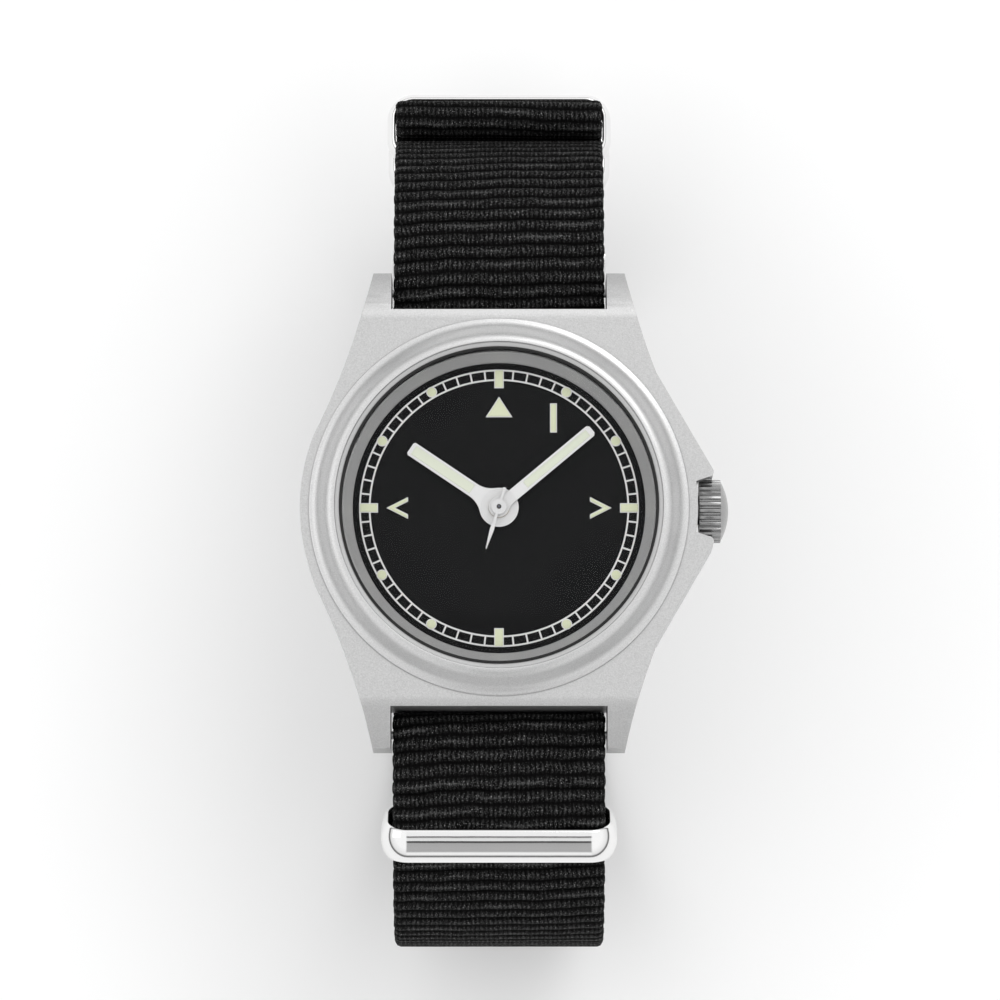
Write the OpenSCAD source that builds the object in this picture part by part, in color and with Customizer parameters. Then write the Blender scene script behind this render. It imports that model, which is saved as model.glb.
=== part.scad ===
// Quartz wristwatch on a closed nylon strap.
// Millimetres. +Z leaves the dial, +Y points to 12 o'clock, +X to the crown.
// The origin is on the floor, straight below the hands, where the strap rests.

/* [Case] */
// Diameter of the round middle of the case
case_d = 36.8; // [36.2:0.1:37.4]
// Length over the lug tips
lug_to_lug = 44.4; // [43.6:0.1:45.5]
// Outer width over a pair of lug tips
lug_tip_w = 23.4; // [23:0.1:24.2]
// Width of the strap gap between the lugs
lug_gap = 20; // [19.9:0.05:20.2]
// Distance between the two walls that the strap passes
gap_wall_span = 37; // [36.4:0.1:37.2]
// Height of the case back's outer face above the floor
head_z = 38; // [37:0.5:44]
// Height of the case's flat top above the case back
case_top = 7.6; // [7.4:0.1:8]
// Height of the case's flat underside above the case back
case_under = 1; // [0.8:0.1:1.2]
// Height of the lug tip's top edge
lug_tip_top = 5.3; // [5:0.1:5.6]
// Slope at which a lug starts to fall away, at the bezel's edge
lug_fall_angle = 12; // [10:1:14]
// Height of the lug tip's lower edge
lug_tip_under = 0.2; // [0.1:0.1:0.5]
// Radius of the hollow flank from guard to lug tip
flank_r = 65; // [50:5:90]
// Height on the flank where the round middle begins
flank_start_y = 6.7; // [6:0.1:7.4]
// Bore of the case
case_bore_r = 14.75; // [14.7:0.05:14.8]
// Bore for the threaded skirt of the case back
back_bore_r = 15.45; // [15.3:0.05:15.6]
// Depth of that bore above the case back's outer face
back_bore_top = 2.7; // [2.6:0.1:2.9]
// Reach of a crown guard from the hand axis
guard_reach = 19.85; // [19.6:0.05:19.9]
// Radius of a crown guard's tip
guard_tip_r = 0.5; // [0.45:0.05:0.6]
// Height of the spring bar above the case back
spring_bar_z = 2.4; // [2.2:0.1:2.6]
// Distance from the strap gap's wall to the spring bar's axis
spring_bar_setback = 2.25; // [2.2:0.05:2.4]

/* [Bezel and crystal] */
// Outer diameter of the bezel
bezel_d = 35.2; // [35:0.1:35.8]
// Radius of the bezel's sharp inner lip
bezel_lip_r = 15.2; // [15.1:0.05:15.4]
// Height of the bezel's lip above the case top
bezel_h = 1.7; // [1.6:0.1:1.9]
// Straight outer edge of the bezel
bezel_edge_h = 0.25; // [0.15:0.05:0.4]
// Radius of the crystal
crystal_r = 14.5; // [14.4:0.05:14.55]
// Thickness of the crystal
crystal_t = 1.5; // [1.4:0.1:1.7]
// Height of the crystal's inner face above the case back
crystal_under = 8; // [7.95:0.05:8.3]

/* [Dial] */
// Height of the dial's face above the case back
dial_face = 6.5; // [6.45:0.05:6.6]
// Thickness of the dial
dial_t = 0.4; // [0.3:0.05:0.45]
// Radius of the dial
dial_r = 14; // [13.8:0.1:14.3]
// Radius of the dial that shows inside the ring
dial_shown_r = 13.55; // [13.4:0.05:13.6]
// Thickness of the printed and luminous marks
mark_t = 0.06; // [0.04:0.01:0.1]
// Outer radius of the minute track
track_r = 12.95; // [12.8:0.05:13.1]
// Inner radius of the minute track
track_inner_r = 12.05; // [11.8:0.05:12.2]
// Width of a printed line
line_w = 0.16; // [0.12:0.01:0.25]

/* [Hands] */
// Direction of the hour hand, clockwise from 12 o'clock
hour_angle = 304; // [0:1:359]
// Direction of the minute hand, clockwise from 12 o'clock
minute_angle = 50; // [0:1:359]
// Direction of the second hand, clockwise from 12 o'clock
second_angle = 197; // [0:1:359]
// Length of the hour hand
hour_hand_l = 9.9; // [9:0.1:10.5]
// Width of the hour hand
hour_hand_w = 1.35; // [1.2:0.05:1.6]
// Length of the minute hand
minute_hand_l = 11.25; // [10.5:0.05:11.8]
// Width of the minute hand
minute_hand_w = 1.15; // [1:0.05:1.4]
// Length of the second hand
second_hand_l = 4.1; // [3.8:0.1:11]
// Thickness of a hand
hand_t = 0.14; // [0.1:0.01:0.16]
// Radius of the hour hand's hub
hour_hub_r = 1.85; // [1.6:0.05:2]

/* [Crown and stem] */
// Diameter of the crown over its flutes
crown_d = 5.86; // [5.6:0.02:5.9]
// Length of the fluted band
crown_band = 2; // [1.9:0.1:2.3]
// Height of the crown's domed end
crown_dome = 0.75; // [0.6:0.05:0.9]
// Number of flutes
crown_flutes = 28; // [20:1:34]
// Height of the stem's axis above the case back
stem_z = 3.9; // [3.85:0.05:3.95]
// Distance from the hand axis to the crown's inner end
crown_x = 18.55; // [18.5:0.05:18.8]
// Travel of the crown when it is pulled
crown_travel = 1; // [0.8:0.1:1.1]
// Travel of the sliding pinion when the crown is pulled
pinion_travel = 0.3; // [0.2:0.05:0.3]
// Radius of the winding stem
stem_r = 0.45; // [0.4:0.01:0.5]

/* [Movement] */
// Radius of the movement
movement_r = 11.6; // [11.4:0.1:11.8]
// Radius of the battery
battery_r = 3.4; // [3.3:0.05:3.45]
// Height of the battery
battery_h = 2.5; // [2.2:0.1:2.6]
// Thickness of a gear wheel
wheel_t = 0.15; // [0.1:0.01:0.16]
// Running clearance of pivots and hubs
run_gap = 0.03; // [0.02:0.01:0.05]

/* [Strap] */
// Gap between each edge of the strap and its lug
strap_side_gap = 0.2; // [0.1:0.05:0.4]
// Thickness of the strap
strap_t = 1.25; // [1.1:0.05:1.35]
// Gap between two layers of strap and beside what they pass
strap_gap = 0.15; // [0.12:0.01:0.2]
// Reach of the loop's middle line towards 12 o'clock
reach_12 = 37.1; // [37.1:0.1:39]
// Reach of the loop's middle line towards 6 o'clock
reach_6 = 38.575; // [38:0.1:39.5]
// Radius of the loop's upper bends
upper_bend_r = 16; // [15.6:0.1:16.2]
// Radius of the loop's lower bends
lower_bend_r = 22; // [20:0.5:23]
// Height of the folded tail's top
tail_fold_top = 31; // [30:0.1:33]
// Gap between the tail's loose end and the lower keeper
tail_end_gap = 1.65; // [1.4:0.05:3]

/* [Strap hardware] */
// Gap between each edge of the strap and a keeper ring
keeper_side_gap = 0.14; // [0.1:0.02:0.3]
// Gap between each edge of the strap and the end ring
end_ring_side_gap = 0.38; // [0.2:0.02:0.5]
// Opening of a ring between its two long bars
ring_opening = 5.4; // [5.35:0.05:5.8]
// Thickness of a ring's strip
ring_t = 0.8; // [0.7:0.05:0.9]
// Radius of a ring's outer corners
ring_corner_r = 2.2; // [1.4:0.1:2.4]
// Radius of a ring's inner corners
ring_inner_corner_r = 0.4; // [0.3:0.05:0.6]
// Width of a ring's strip along the strap
ring_l = 3.4; // [3:0.1:3.5]
// Height of the upper keeper above the floor
keeper_z = 26.2; // [25.5:0.1:27]
// Place of the lower keeper on the lower bend, in degrees
lower_keeper_angle = -9.5; // [-11:0.5:-9]
// Place of the end ring on the upper bend, in degrees from the top
end_ring_angle = 30; // [28:0.5:32]
// Gap between each edge of the strap and the buckle's frame
buckle_side_gap = 0.1; // [0.08:0.02:0.2]
// Radius of the buckle's fixed bar
buckle_bar_r = 0.75; // [0.6:0.05:0.8]
// Radius of the buckle's rim
buckle_rim_r = 0.6; // [0.5:0.05:0.7]
// Place of the buckle's fixed bar on the lower bend, in degrees
buckle_bar_angle = -45; // [-46:0.5:-44]
// Place of the buckle's rim on the lower bend, in degrees
buckle_rim_angle = -65; // [-66:0.5:-64]

/* [Hidden] */
$fn = 64;
eps = 0.01;

steel = [0.72, 0.73, 0.74];
polished = [0.85, 0.86, 0.88];
brass = [0.80, 0.66, 0.35];
webbing = [0.07, 0.07, 0.08];
cream = [0.86, 0.89, 0.74];
white = [0.95, 0.95, 0.95];

case_r = case_d / 2;
strap_w = lug_gap - 2 * strap_side_gap;
keeper_w = strap_w + 2 * (keeper_side_gap + ring_t);
end_ring_w = strap_w + 2 * (end_ring_side_gap + ring_t);
gap_wall = gap_wall_span / 2;
lug_tip_y = lug_to_lug / 2;
spring_bar_y = gap_wall + spring_bar_setback;
bar_height = head_z + spring_bar_z;

// Two-dimensional helpers

function unit(a) = [cos(a), sin(a)];
function mid(p, q) = (p + q) / 2;
function clockwise(a) = 90 - a;

// A thing seen from 12 o'clock, turned clockwise round the dial
module at_hour(angle) { rotate([0, 0, -angle]) children(); }

// A solid lying along X: its profile is drawn as [y, z]
module along_x(length) {
    translate([-length / 2, 0, 0]) rotate([90, 0, 90]) linear_extrude(length) children();
}
module rod_x(r, length) { translate([-length / 2, 0, 0]) rotate([0, 90, 0]) cylinder(r = r, h = length); }
module tube(r_out, r_in, h) {
    difference() {
        cylinder(r = r_out, h = h);
        translate([0, 0, -eps]) cylinder(r = r_in, h = h + 2 * eps);
    }
}
module head() { translate([0, 0, head_z]) children(); }

// Case

flank_tip = [lug_tip_w / 2, lug_tip_y];
flank_root = [sqrt(case_r * case_r - flank_start_y * flank_start_y), flank_start_y];
flank_chord = flank_root - flank_tip;
flank_half = norm(flank_chord) / 2;
flank_centre = mid(flank_tip, flank_root)
    + [-flank_chord[1], flank_chord[0]] / norm(flank_chord) * sqrt(flank_r * flank_r - flank_half * flank_half);
// Each lug falls away on one radius from the bezel's edge to its tip
lug_fall_start = [bezel_d / 2, case_top];
lug_fall_step = [lug_tip_y, lug_tip_top] - lug_fall_start;
lug_fall_way = [sin(lug_fall_angle), cos(lug_fall_angle)];
lug_fall_r = -(lug_fall_step * lug_fall_step) / (2 * lug_fall_step * lug_fall_way);
lug_fall_centre = lug_fall_start - lug_fall_r * lug_fall_way;
lug_root_y = 17.2;
guard_slope = 30;
crown_clear = 0.13;
notch_half = crown_d / 2 + crown_clear;
notch_wall = 18.43;
notch_root_half = 2.3;
notch_mouth_half = 2.75;
notch_roof = 6.3;
guard_back = 12;
guard_centre = [guard_reach - guard_tip_r, notch_mouth_half + guard_tip_r];
bar_hole_r = 0.45;
bar_hole_depth = 0.9;
tube_r = 1;

module case_plan() {
    polygon([
        flank_tip, flank_root, [flank_root[0], -flank_root[1]], [flank_tip[0], -flank_tip[1]],
        [-flank_tip[0], -flank_tip[1]], [-flank_root[0], -flank_root[1]],
        [-flank_root[0], flank_root[1]], [-flank_tip[0], flank_tip[1]]
    ]);
}
module case_side() {
    polygon([
        [-lug_tip_y, lug_tip_under], [-lug_root_y, case_under], [lug_root_y, case_under],
        [lug_tip_y, lug_tip_under], [lug_tip_y, case_top], [-lug_tip_y, case_top]
    ]);
}
// A guard's upper lip closes in over the crown towards the wall
module crown_guard() {
    tangent = guard_centre + guard_tip_r * unit(guard_slope);
    back = tangent + guard_back * [-sin(guard_slope), cos(guard_slope)];
    linear_extrude(case_top - case_under) union() {
        polygon([
            back, tangent, guard_centre, guard_centre - [0, guard_tip_r],
            [notch_wall - 0.4, notch_root_half], [12, notch_root_half], [12, back[1]]
        ]);
        translate(guard_centre) circle(r = guard_tip_r);
    }
}
module case_body() {
    difference() {
        intersection() {
            union() {
                linear_extrude(case_top) case_plan();
                cylinder(r = case_r, h = case_top, $fn = 180);
            }
            along_x(60) case_side();
        }
        for (side = [0, 1]) mirror([0, side, 0]) difference() {
            translate([-28, lug_fall_start[0], lug_tip_top - 2]) cube([56, 10, 12]);
            translate([0, lug_fall_centre[0], lug_fall_centre[1]]) rod_x(lug_fall_r, 60, $fn = 180);
        }
        for (mx = [0, 1]) for (my = [0, 1]) mirror([mx, 0, 0]) mirror([0, my, 0])
            translate([flank_centre[0], flank_centre[1], -1]) cylinder(r = flank_r, h = 12, $fn = 360);
        for (side = [0, 1]) mirror([0, side, 0]) translate([-lug_gap / 2, gap_wall, -1])
            cube([lug_gap, 10, 12]);
    }
}
module mid_case() {
    color(steel) head() difference() {
        union() {
            case_body();
            for (side = [0, 1]) mirror([0, side, 0]) translate([0, 0, case_under]) crown_guard();
        }
        translate([notch_wall, -notch_half, -1]) cube([5, 2 * notch_half, 1 + notch_roof]);
        translate([0, 0, -1]) cylinder(r = case_bore_r, h = 12, $fn = 180);
        translate([0, 0, -1]) cylinder(r = back_bore_r, h = 1 + back_bore_top, $fn = 180);
        for (y = [-spring_bar_y, spring_bar_y]) translate([0, y, spring_bar_z])
            rod_x(bar_hole_r, lug_gap + 2 * bar_hole_depth);
        translate([15.5, 0, stem_z]) rod_x(tube_r, 8);
    }
}

bezel_top = case_top + bezel_h;
bezel_edge_top = case_top + bezel_edge_h;
bezel_steps = 14;
lip_drop = 0.25;
lip_t = 0.06;
// Height of the bezel from its outer edge, 0, to its lip, 1
function bezel_rise(u) = 0.22 * sin(90 * min(1, u / 0.42)) * (1 - u) + pow(u, 1.6) * (3 - 2 * u) * 0.98 + 0.02 * u;
function bezel_profile(u) = [
    bezel_d / 2 + (bezel_lip_r - bezel_d / 2) * u,
    bezel_edge_top + (bezel_top - bezel_edge_top) * bezel_rise(u)
];
module bezel() {
    color(steel) head() rotate_extrude($fn = 180) polygon(concat(
        [[case_bore_r, case_top], [bezel_d / 2, case_top]],
        [for (i = [0:bezel_steps]) bezel_profile(i / bezel_steps)],
        [[bezel_lip_r - lip_t, bezel_top - lip_drop], [case_bore_r, bezel_top - lip_drop]]
    ));
}
crystal_top = crystal_under + crystal_t;
crystal_bevel = 0.2;
module crystal() {
    color([0.8, 0.9, 0.95, 0.3]) head() rotate_extrude($fn = 180) polygon([
        [0, crystal_under], [crystal_r, crystal_under], [crystal_r, crystal_top - crystal_bevel],
        [crystal_r - crystal_bevel, crystal_top], [0, crystal_top]
    ]);
}
module crystal_gasket() {
    color([0.05, 0.05, 0.05]) head() translate([0, 0, crystal_under]) difference() {
        cylinder(r = case_bore_r, h = bezel_top - lip_drop - crystal_under + 0.1, $fn = 180);
        translate([0, 0, -1]) cylinder(r = crystal_r, h = 5, $fn = 180);
    }
}
ring_fit = 0.1;
module dial_ring() {
    color([0.55, 0.56, 0.57]) head() rotate_extrude($fn = 180) polygon([
        [dial_shown_r, dial_face], [case_bore_r - ring_fit, dial_face],
        [case_bore_r - ring_fit, crystal_under], [crystal_r - ring_fit, crystal_under],
        [dial_shown_r, dial_face + 0.25]
    ]);
}
back_flange_r = 16.4;
back_plate_t = 1;
skirt_t = 1;
back_key_count = 6;
module case_back() {
    color(steel) head() difference() {
        union() {
            cylinder(r = back_flange_r, h = back_plate_t, $fn = 180);
            cylinder(r = back_bore_r - 0.05, h = back_bore_top - 0.2, $fn = 180);
        }
        translate([0, 0, back_plate_t + 0.15]) cylinder(r = back_bore_r - skirt_t, h = 5, $fn = 180);
        for (i = [0:back_key_count - 1]) rotate([0, 0, 30 + i * 360 / back_key_count])
            translate([13.6, -1, -eps]) cube([5, 2, 0.5]);
        translate([0, 0, -eps]) difference() {
            cylinder(r = 12.6, h = 0.12);
            translate([0, 0, -1]) cylinder(r = 12.3, h = 3);
        }
    }
}
module case_back_gasket() {
    color([0.05, 0.05, 0.05]) head() translate([0, 0, back_bore_top - 0.2 + 0.02])
        tube(back_bore_r - 0.1, case_bore_r + 0.05, 0.16, $fn = 180);
}

// Crown and stem

crown_r = crown_d / 2;
flute_depth = 0.2;
crown_bore_r = 1.75;
collar_r = 1.3;
collar_end = crown_x + 1.45;
tube_bore_r = stem_r + 0.08;
tube_start = case_bore_r + 0.15;
stem_tip_x = 6.6;
lever_groove_x = 9;
lever_groove_w = 0.5;
crown_end = crown_x + crown_band + crown_dome;
module on_stem(x) { head() translate([x, 0, stem_z]) rotate([0, 90, 0]) children(); }
module flute_plan() {
    pitch = 360 / crown_flutes;
    polygon([for (i = [0:crown_flutes - 1]) each [
        (crown_r - flute_depth) * unit(i * pitch), crown_r * unit((i + 0.22) * pitch),
        crown_r * unit((i + 0.62) * pitch), (crown_r - flute_depth) * unit((i + 0.84) * pitch)
    ]]);
}
module crown() {
    dome_r = crown_r - 0.12;
    sphere_r = (dome_r * dome_r + crown_dome * crown_dome) / (2 * crown_dome);
    color([0.5, 0.5, 0.5]) on_stem(crown_x) difference() {
        union() {
            linear_extrude(crown_band) flute_plan();
            translate([0, 0, crown_band]) intersection() {
                translate([0, 0, crown_dome - sphere_r]) sphere(r = sphere_r, $fn = 120);
                cylinder(r = dome_r, h = crown_dome);
            }
        }
        translate([0, 0, -eps]) cylinder(r = crown_bore_r, h = 1.75);
    }
}
gasket_cord_r = 0.2;
module crown_gasket() {
    color([0.05, 0.05, 0.05]) on_stem(crown_x + 0.4)
        rotate_extrude() translate([crown_bore_r - gasket_cord_r - 0.02, 0]) circle(r = gasket_cord_r);
}
module crown_tube() {
    color(steel) on_stem(tube_start) difference() {
        union() {
            cylinder(r = tube_r, h = collar_end - tube_start);
            translate([0, 0, notch_wall - tube_start]) cylinder(r = collar_r - run_gap, h = collar_end - notch_wall);
        }
        translate([0, 0, -eps]) cylinder(r = tube_bore_r, h = 10);
    }
}
module winding_stem() {
    stem_end = crown_x + 1.74;
    color(polished) on_stem(stem_tip_x) difference() {
        cylinder(r = stem_r, h = stem_end - stem_tip_x);
        translate([0, 0, lever_groove_x - stem_tip_x]) tube(stem_r + 1, 0.25, lever_groove_w);
    }
}

// Gear wheels

module_train = 0.08;
module_seconds = 0.09;
module_centre = 0.085;
module_minute = 0.1;
module_hour = 0.125;
rotor_teeth = 10;
intermediate_teeth = 60;
intermediate_leaves = 12;
seconds_teeth = 60;
seconds_leaves = 8;
third_teeth = 60;
third_leaves = 8;
centre_teeth = 64;
cannon_leaves = 12;
minute_teeth = 48;
minute_leaves = 12;
hour_teeth = 36;
setting_teeth = 20;

function pitch_r(m, teeth) = m * teeth / 2;
function mesh_distance(m, a, b) = pitch_r(m, a) + pitch_r(m, b);
// Turn of gear b that meshes with gear a, turned by a_turn, in direction phi
function mesh_turn(phi, a_turn, a_teeth, b_teeth) =
    phi + 180 - 360 / b_teeth * (0.5 - (phi - a_turn) * a_teeth / 360);

intermediate_dir = -75;
rotor_dir = -30;
third_dir = 140;
minute_dir = 25;
setting_dir = -20;
intermediate_at = mesh_distance(module_train, seconds_teeth, intermediate_leaves) * unit(intermediate_dir);
rotor_at = intermediate_at + mesh_distance(module_train, intermediate_teeth, rotor_teeth) * unit(rotor_dir);
third_at = mesh_distance(module_seconds, seconds_leaves, third_teeth) * unit(third_dir);
minute_at = mesh_distance(module_minute, cannon_leaves, minute_teeth) * unit(minute_dir);
setting_at = minute_at + mesh_distance(module_minute, minute_teeth, setting_teeth) * unit(setting_dir);

third_leaf_turn = mesh_turn(third_dir, 0, centre_teeth, third_leaves);
seconds_leaf_turn = mesh_turn(third_dir + 180, 0, third_teeth, seconds_leaves);
intermediate_leaf_turn = mesh_turn(intermediate_dir, 0, seconds_teeth, intermediate_leaves);
rotor_turn = mesh_turn(rotor_dir, 0, intermediate_teeth, rotor_teeth);
minute_turn = mesh_turn(minute_dir, 0, cannon_leaves, minute_teeth);
hour_turn = mesh_turn(minute_dir + 180, 0, minute_leaves, hour_teeth);
setting_turn = mesh_turn(setting_dir, minute_turn, minute_teeth, setting_teeth);

// Heights in the movement, from the case back's outer face
bridge_under = 2.45;
bridge_top = 2.85;
seconds_gear_z = 3.05;
seconds_leaf_z = 3.3;
third_gear_z = 3.45;
intermediate_gear_z = 3.75;
centre_gear_z = 3.95;
plate_under = 4.2;
plate_top = 5.2;
motion_z = 5.25;
hour_gear_z = 5.6;
hour_hand_z = 6.9;
minute_hand_z = 7.2;
second_hand_z = 7.48;
pivot_r = 0.14;
arbor_r = 0.2;
seconds_arbor_r = 0.22;
centre_pipe_r = 0.4;
cannon_r = 0.6;
hour_pipe_r = 0.95;

module gear_plan(m, teeth) {
    r = pitch_r(m, teeth);
    tip = r + 0.85 * m;
    root = r - 1.2 * m;
    pitch = 360 / teeth;
    polygon([for (i = [0:teeth - 1]) each [
        root * unit((i - 0.28) * pitch), tip * unit((i - 0.1) * pitch),
        tip * unit((i + 0.1) * pitch), root * unit((i + 0.28) * pitch)
    ]]);
}
module gear(m, teeth, turn, z, h) {
    translate([0, 0, z]) rotate([0, 0, turn]) linear_extrude(h) gear_plan(m, teeth);
}
module arbor(z_low, z_high) {
    pivot_l = 0.3;
    translate([0, 0, z_low - pivot_l]) cylinder(r = pivot_r, h = z_high - z_low + 2 * pivot_l);
    translate([0, 0, z_low]) cylinder(r = arbor_r, h = z_high - z_low);
}
low_arbor = bridge_top + 0.04;
high_arbor = plate_under - 0.04;
module rotor() {
    color([0.35, 0.35, 0.38]) head() translate(rotor_at) {
        arbor(low_arbor, high_arbor);
        translate([0, 0, low_arbor + 0.02]) cylinder(r = 0.8, h = 0.6);
        gear(module_train, rotor_teeth, rotor_turn, 3.65, 0.4);
    }
}
module intermediate_wheel() {
    color(brass) head() translate(intermediate_at) {
        arbor(low_arbor, high_arbor);
        gear(module_train, intermediate_leaves, intermediate_leaf_turn, 2.95, 0.4);
        gear(module_train, intermediate_teeth, 0, intermediate_gear_z, wheel_t);
    }
}
module seconds_wheel() {
    color(brass) head() {
        translate([0, 0, low_arbor - 0.3]) cylinder(r = pivot_r, h = 0.4);
        translate([0, 0, low_arbor]) cylinder(r = seconds_arbor_r, h = second_hand_z - low_arbor + hand_t);
        gear(module_train, seconds_teeth, 0, seconds_gear_z, wheel_t);
        gear(module_seconds, seconds_leaves, seconds_leaf_turn, seconds_leaf_z, 0.38);
    }
}
module third_wheel() {
    color(brass) head() translate(third_at) {
        arbor(low_arbor, high_arbor);
        gear(module_seconds, third_teeth, 0, third_gear_z, wheel_t);
        gear(module_centre, third_leaves, third_leaf_turn, 3.7, 0.44);
    }
}
module centre_wheel() {
    color(brass) head() difference() {
        union() {
            gear(module_centre, centre_teeth, 0, centre_gear_z, wheel_t);
            translate([0, 0, centre_gear_z]) cylinder(r = centre_pipe_r, h = 2.95);
        }
        cylinder(r = seconds_arbor_r + run_gap, h = 10);
    }
}
module cannon_pinion() {
    color(polished) head() difference() {
        union() {
            translate([0, 0, motion_z]) cylinder(r = cannon_r, h = minute_hand_z + hand_t - motion_z);
            gear(module_minute, cannon_leaves, 0, motion_z, 0.25);
        }
        cylinder(r = centre_pipe_r, h = centre_gear_z + 2.95);
        cylinder(r = seconds_arbor_r + run_gap, h = 10);
    }
}
post_r = 0.2;
module minute_wheel() {
    color(brass) head() translate(minute_at) difference() {
        union() {
            gear(module_minute, minute_teeth, minute_turn, motion_z, wheel_t);
            gear(module_hour, minute_leaves, 0, motion_z + wheel_t, 0.4);
        }
        cylinder(r = post_r + run_gap, h = 10);
    }
}
module hour_wheel() {
    color(brass) head() difference() {
        union() {
            gear(module_hour, hour_teeth, hour_turn, hour_gear_z, wheel_t);
            translate([0, 0, hour_gear_z]) cylinder(r = hour_pipe_r, h = hour_hand_z + hand_t - hour_gear_z);
        }
        cylinder(r = cannon_r + run_gap, h = 10);
    }
}
setting_under = 4.45;
module setting_wheel() {
    color(polished) head() translate(setting_at) difference() {
        gear(module_minute, setting_teeth, setting_turn, setting_under, motion_z + wheel_t - setting_under);
        cylinder(r = post_r + run_gap, h = 10);
    }
}

// Keyless works

pinion_start = setting_at[0] + pitch_r(module_minute, setting_teeth) + 0.85 * module_minute + pinion_travel + 0.05;
pinion_l = 1.5;
pinion_r = 0.85;
fork_groove = 0.55;
fork_w = 0.3;
lever_arm = 2.6;
lever_sweep = 22;
lever_post_at = [lever_groove_x + lever_groove_w / 2, 0];
lever_pivot = lever_post_at + lever_arm * [sin(lever_sweep / 2), cos(lever_sweep / 2)];
lever_z = 3.05;
lever_t = 0.25;
module sliding_pinion() {
    color(polished) on_stem(pinion_start) difference() {
        cylinder(r = pinion_r, h = pinion_l);
        translate([0, 0, -eps]) cylinder(r = stem_r + run_gap, h = 4);
        translate([0, 0, fork_groove]) tube(2, 0.6, fork_w);
    }
}
module yoke() {
    finger_w = fork_w - 0.1;
    finger_x = pinion_start + fork_groove + 0.05;
    color(steel) head() {
        translate([finger_x, 0.66, stem_z - 0.1]) cube([finger_w, 1.3, 0.2]);
        translate([finger_x - 0.5, 1.2, stem_z - 0.1]) cube([1.2, 2.6, 0.35]);
    }
}
module setting_lever() {
    along = lever_pivot - lever_post_at;
    color(steel) head() difference() {
        union() {
            translate([lever_post_at[0], 0, lever_z]) rotate([0, 0, atan2(along[1], along[0])])
                translate([0, -0.3, 0]) cube([lever_arm, 0.6, lever_t]);
            translate([lever_post_at[0], 0, lever_z]) cylinder(r = 0.3, h = lever_t);
            translate([lever_post_at[0], 0, lever_z]) cylinder(r = 0.15, h = 0.55);
            translate([lever_pivot[0], lever_pivot[1], lever_z]) cylinder(r = 0.55, h = lever_t);
        }
        translate([lever_pivot[0], lever_pivot[1], 0]) cylinder(r = 0.25 + run_gap, h = 10);
    }
}

// Fixed parts of the movement

battery_at = [-6.4, -4.4];
battery_under = 1.65;
coil_at = [2.6, -8];
coil_l = 7.4;
coil_end = 5;
coil_z = 3.4;
quartz_at = [-1.5, 8.2];
screw_places = [[-7.6, 4.2], [3.4, 5.4], [6, -2.5]];
pillar_r = 0.9;
module quiet_hole(at, r, h) { translate([at[0], at[1], -1]) cylinder(r = r, h = h + 2); }
module main_plate() {
    color([0.62, 0.6, 0.55]) head() {
        difference() {
            union() {
                translate([0, 0, plate_under]) cylinder(r = movement_r, h = plate_top - plate_under, $fn = 120);
                translate([10.8, -1.4, stem_z - 0.9]) cube([0.7, 2.8, plate_top - stem_z + 0.4]);
            }
            translate([0, 0, 0]) cylinder(r = centre_pipe_r + run_gap, h = 10);
            for (at = [third_at, intermediate_at, rotor_at])
                translate([at[0], at[1], 0]) cylinder(r = pivot_r + run_gap, h = 10);
            translate([setting_at[0], setting_at[1], setting_under - 0.05]) cylinder(r = 1.25, h = 2);
            translate([pinion_start - pinion_travel - 0.05, -1, 0]) cube([2.2, 2, 10]);
            translate([pinion_start, -0.6, 0]) cube([10.85 - pinion_start, 1.2, stem_z + 0.6]);
            translate([stem_tip_x - 0.1, 0, stem_z]) rotate([0, 90, 0]) cylinder(r = stem_r + run_gap, h = 20);
        }
        translate([lever_pivot[0], lever_pivot[1], lever_z - 0.1]) cylinder(r = 0.25, h = plate_under - lever_z + 0.2);
        translate([minute_at[0], minute_at[1], plate_top - 0.1]) cylinder(r = post_r, h = 0.75);
        translate([setting_at[0], setting_at[1], plate_under + 0.1]) cylinder(r = post_r, h = 1.15);
        for (at = screw_places) translate([at[0], at[1], bridge_top]) difference() {
            cylinder(r = pillar_r, h = plate_under - bridge_top + 0.05);
            translate([0, 0, -eps]) cylinder(r = 0.35, h = 1.2);
        }
    }
}
module train_bridge() {
    color(steel) head() difference() {
        translate([0, 0, bridge_under]) linear_extrude(bridge_top - bridge_under) polygon([
            [-8.6, 3.4], [-8, 5.2], [-2, 4.6], [3, 6.5], [4.5, 6], [5.2, -1.4], [7, -1.7], [6.9, -3.3],
            [3.8, -5.2], [2.4, -5.2], [-1.4, -2.6], [-3.1, -1], [-4.6, 1.4]
        ]);
        for (at = [[0, 0], third_at, intermediate_at, rotor_at])
            translate([at[0], at[1], 0]) cylinder(r = pivot_r + run_gap, h = 10);
        for (at = screw_places) translate([at[0], at[1], 0]) cylinder(r = 0.4, h = 10);
    }
}
module bridge_screws() {
    color(polished) head() for (at = screw_places) translate([at[0], at[1], bridge_under]) {
        difference() {
            translate([0, 0, -0.3]) cylinder(r = 0.65, h = 0.3);
            translate([-1, -0.07, -0.4]) cube([2, 0.14, 0.25]);
        }
        cylinder(r = 0.35, h = bridge_top - bridge_under + 1.1);
    }
}
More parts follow.
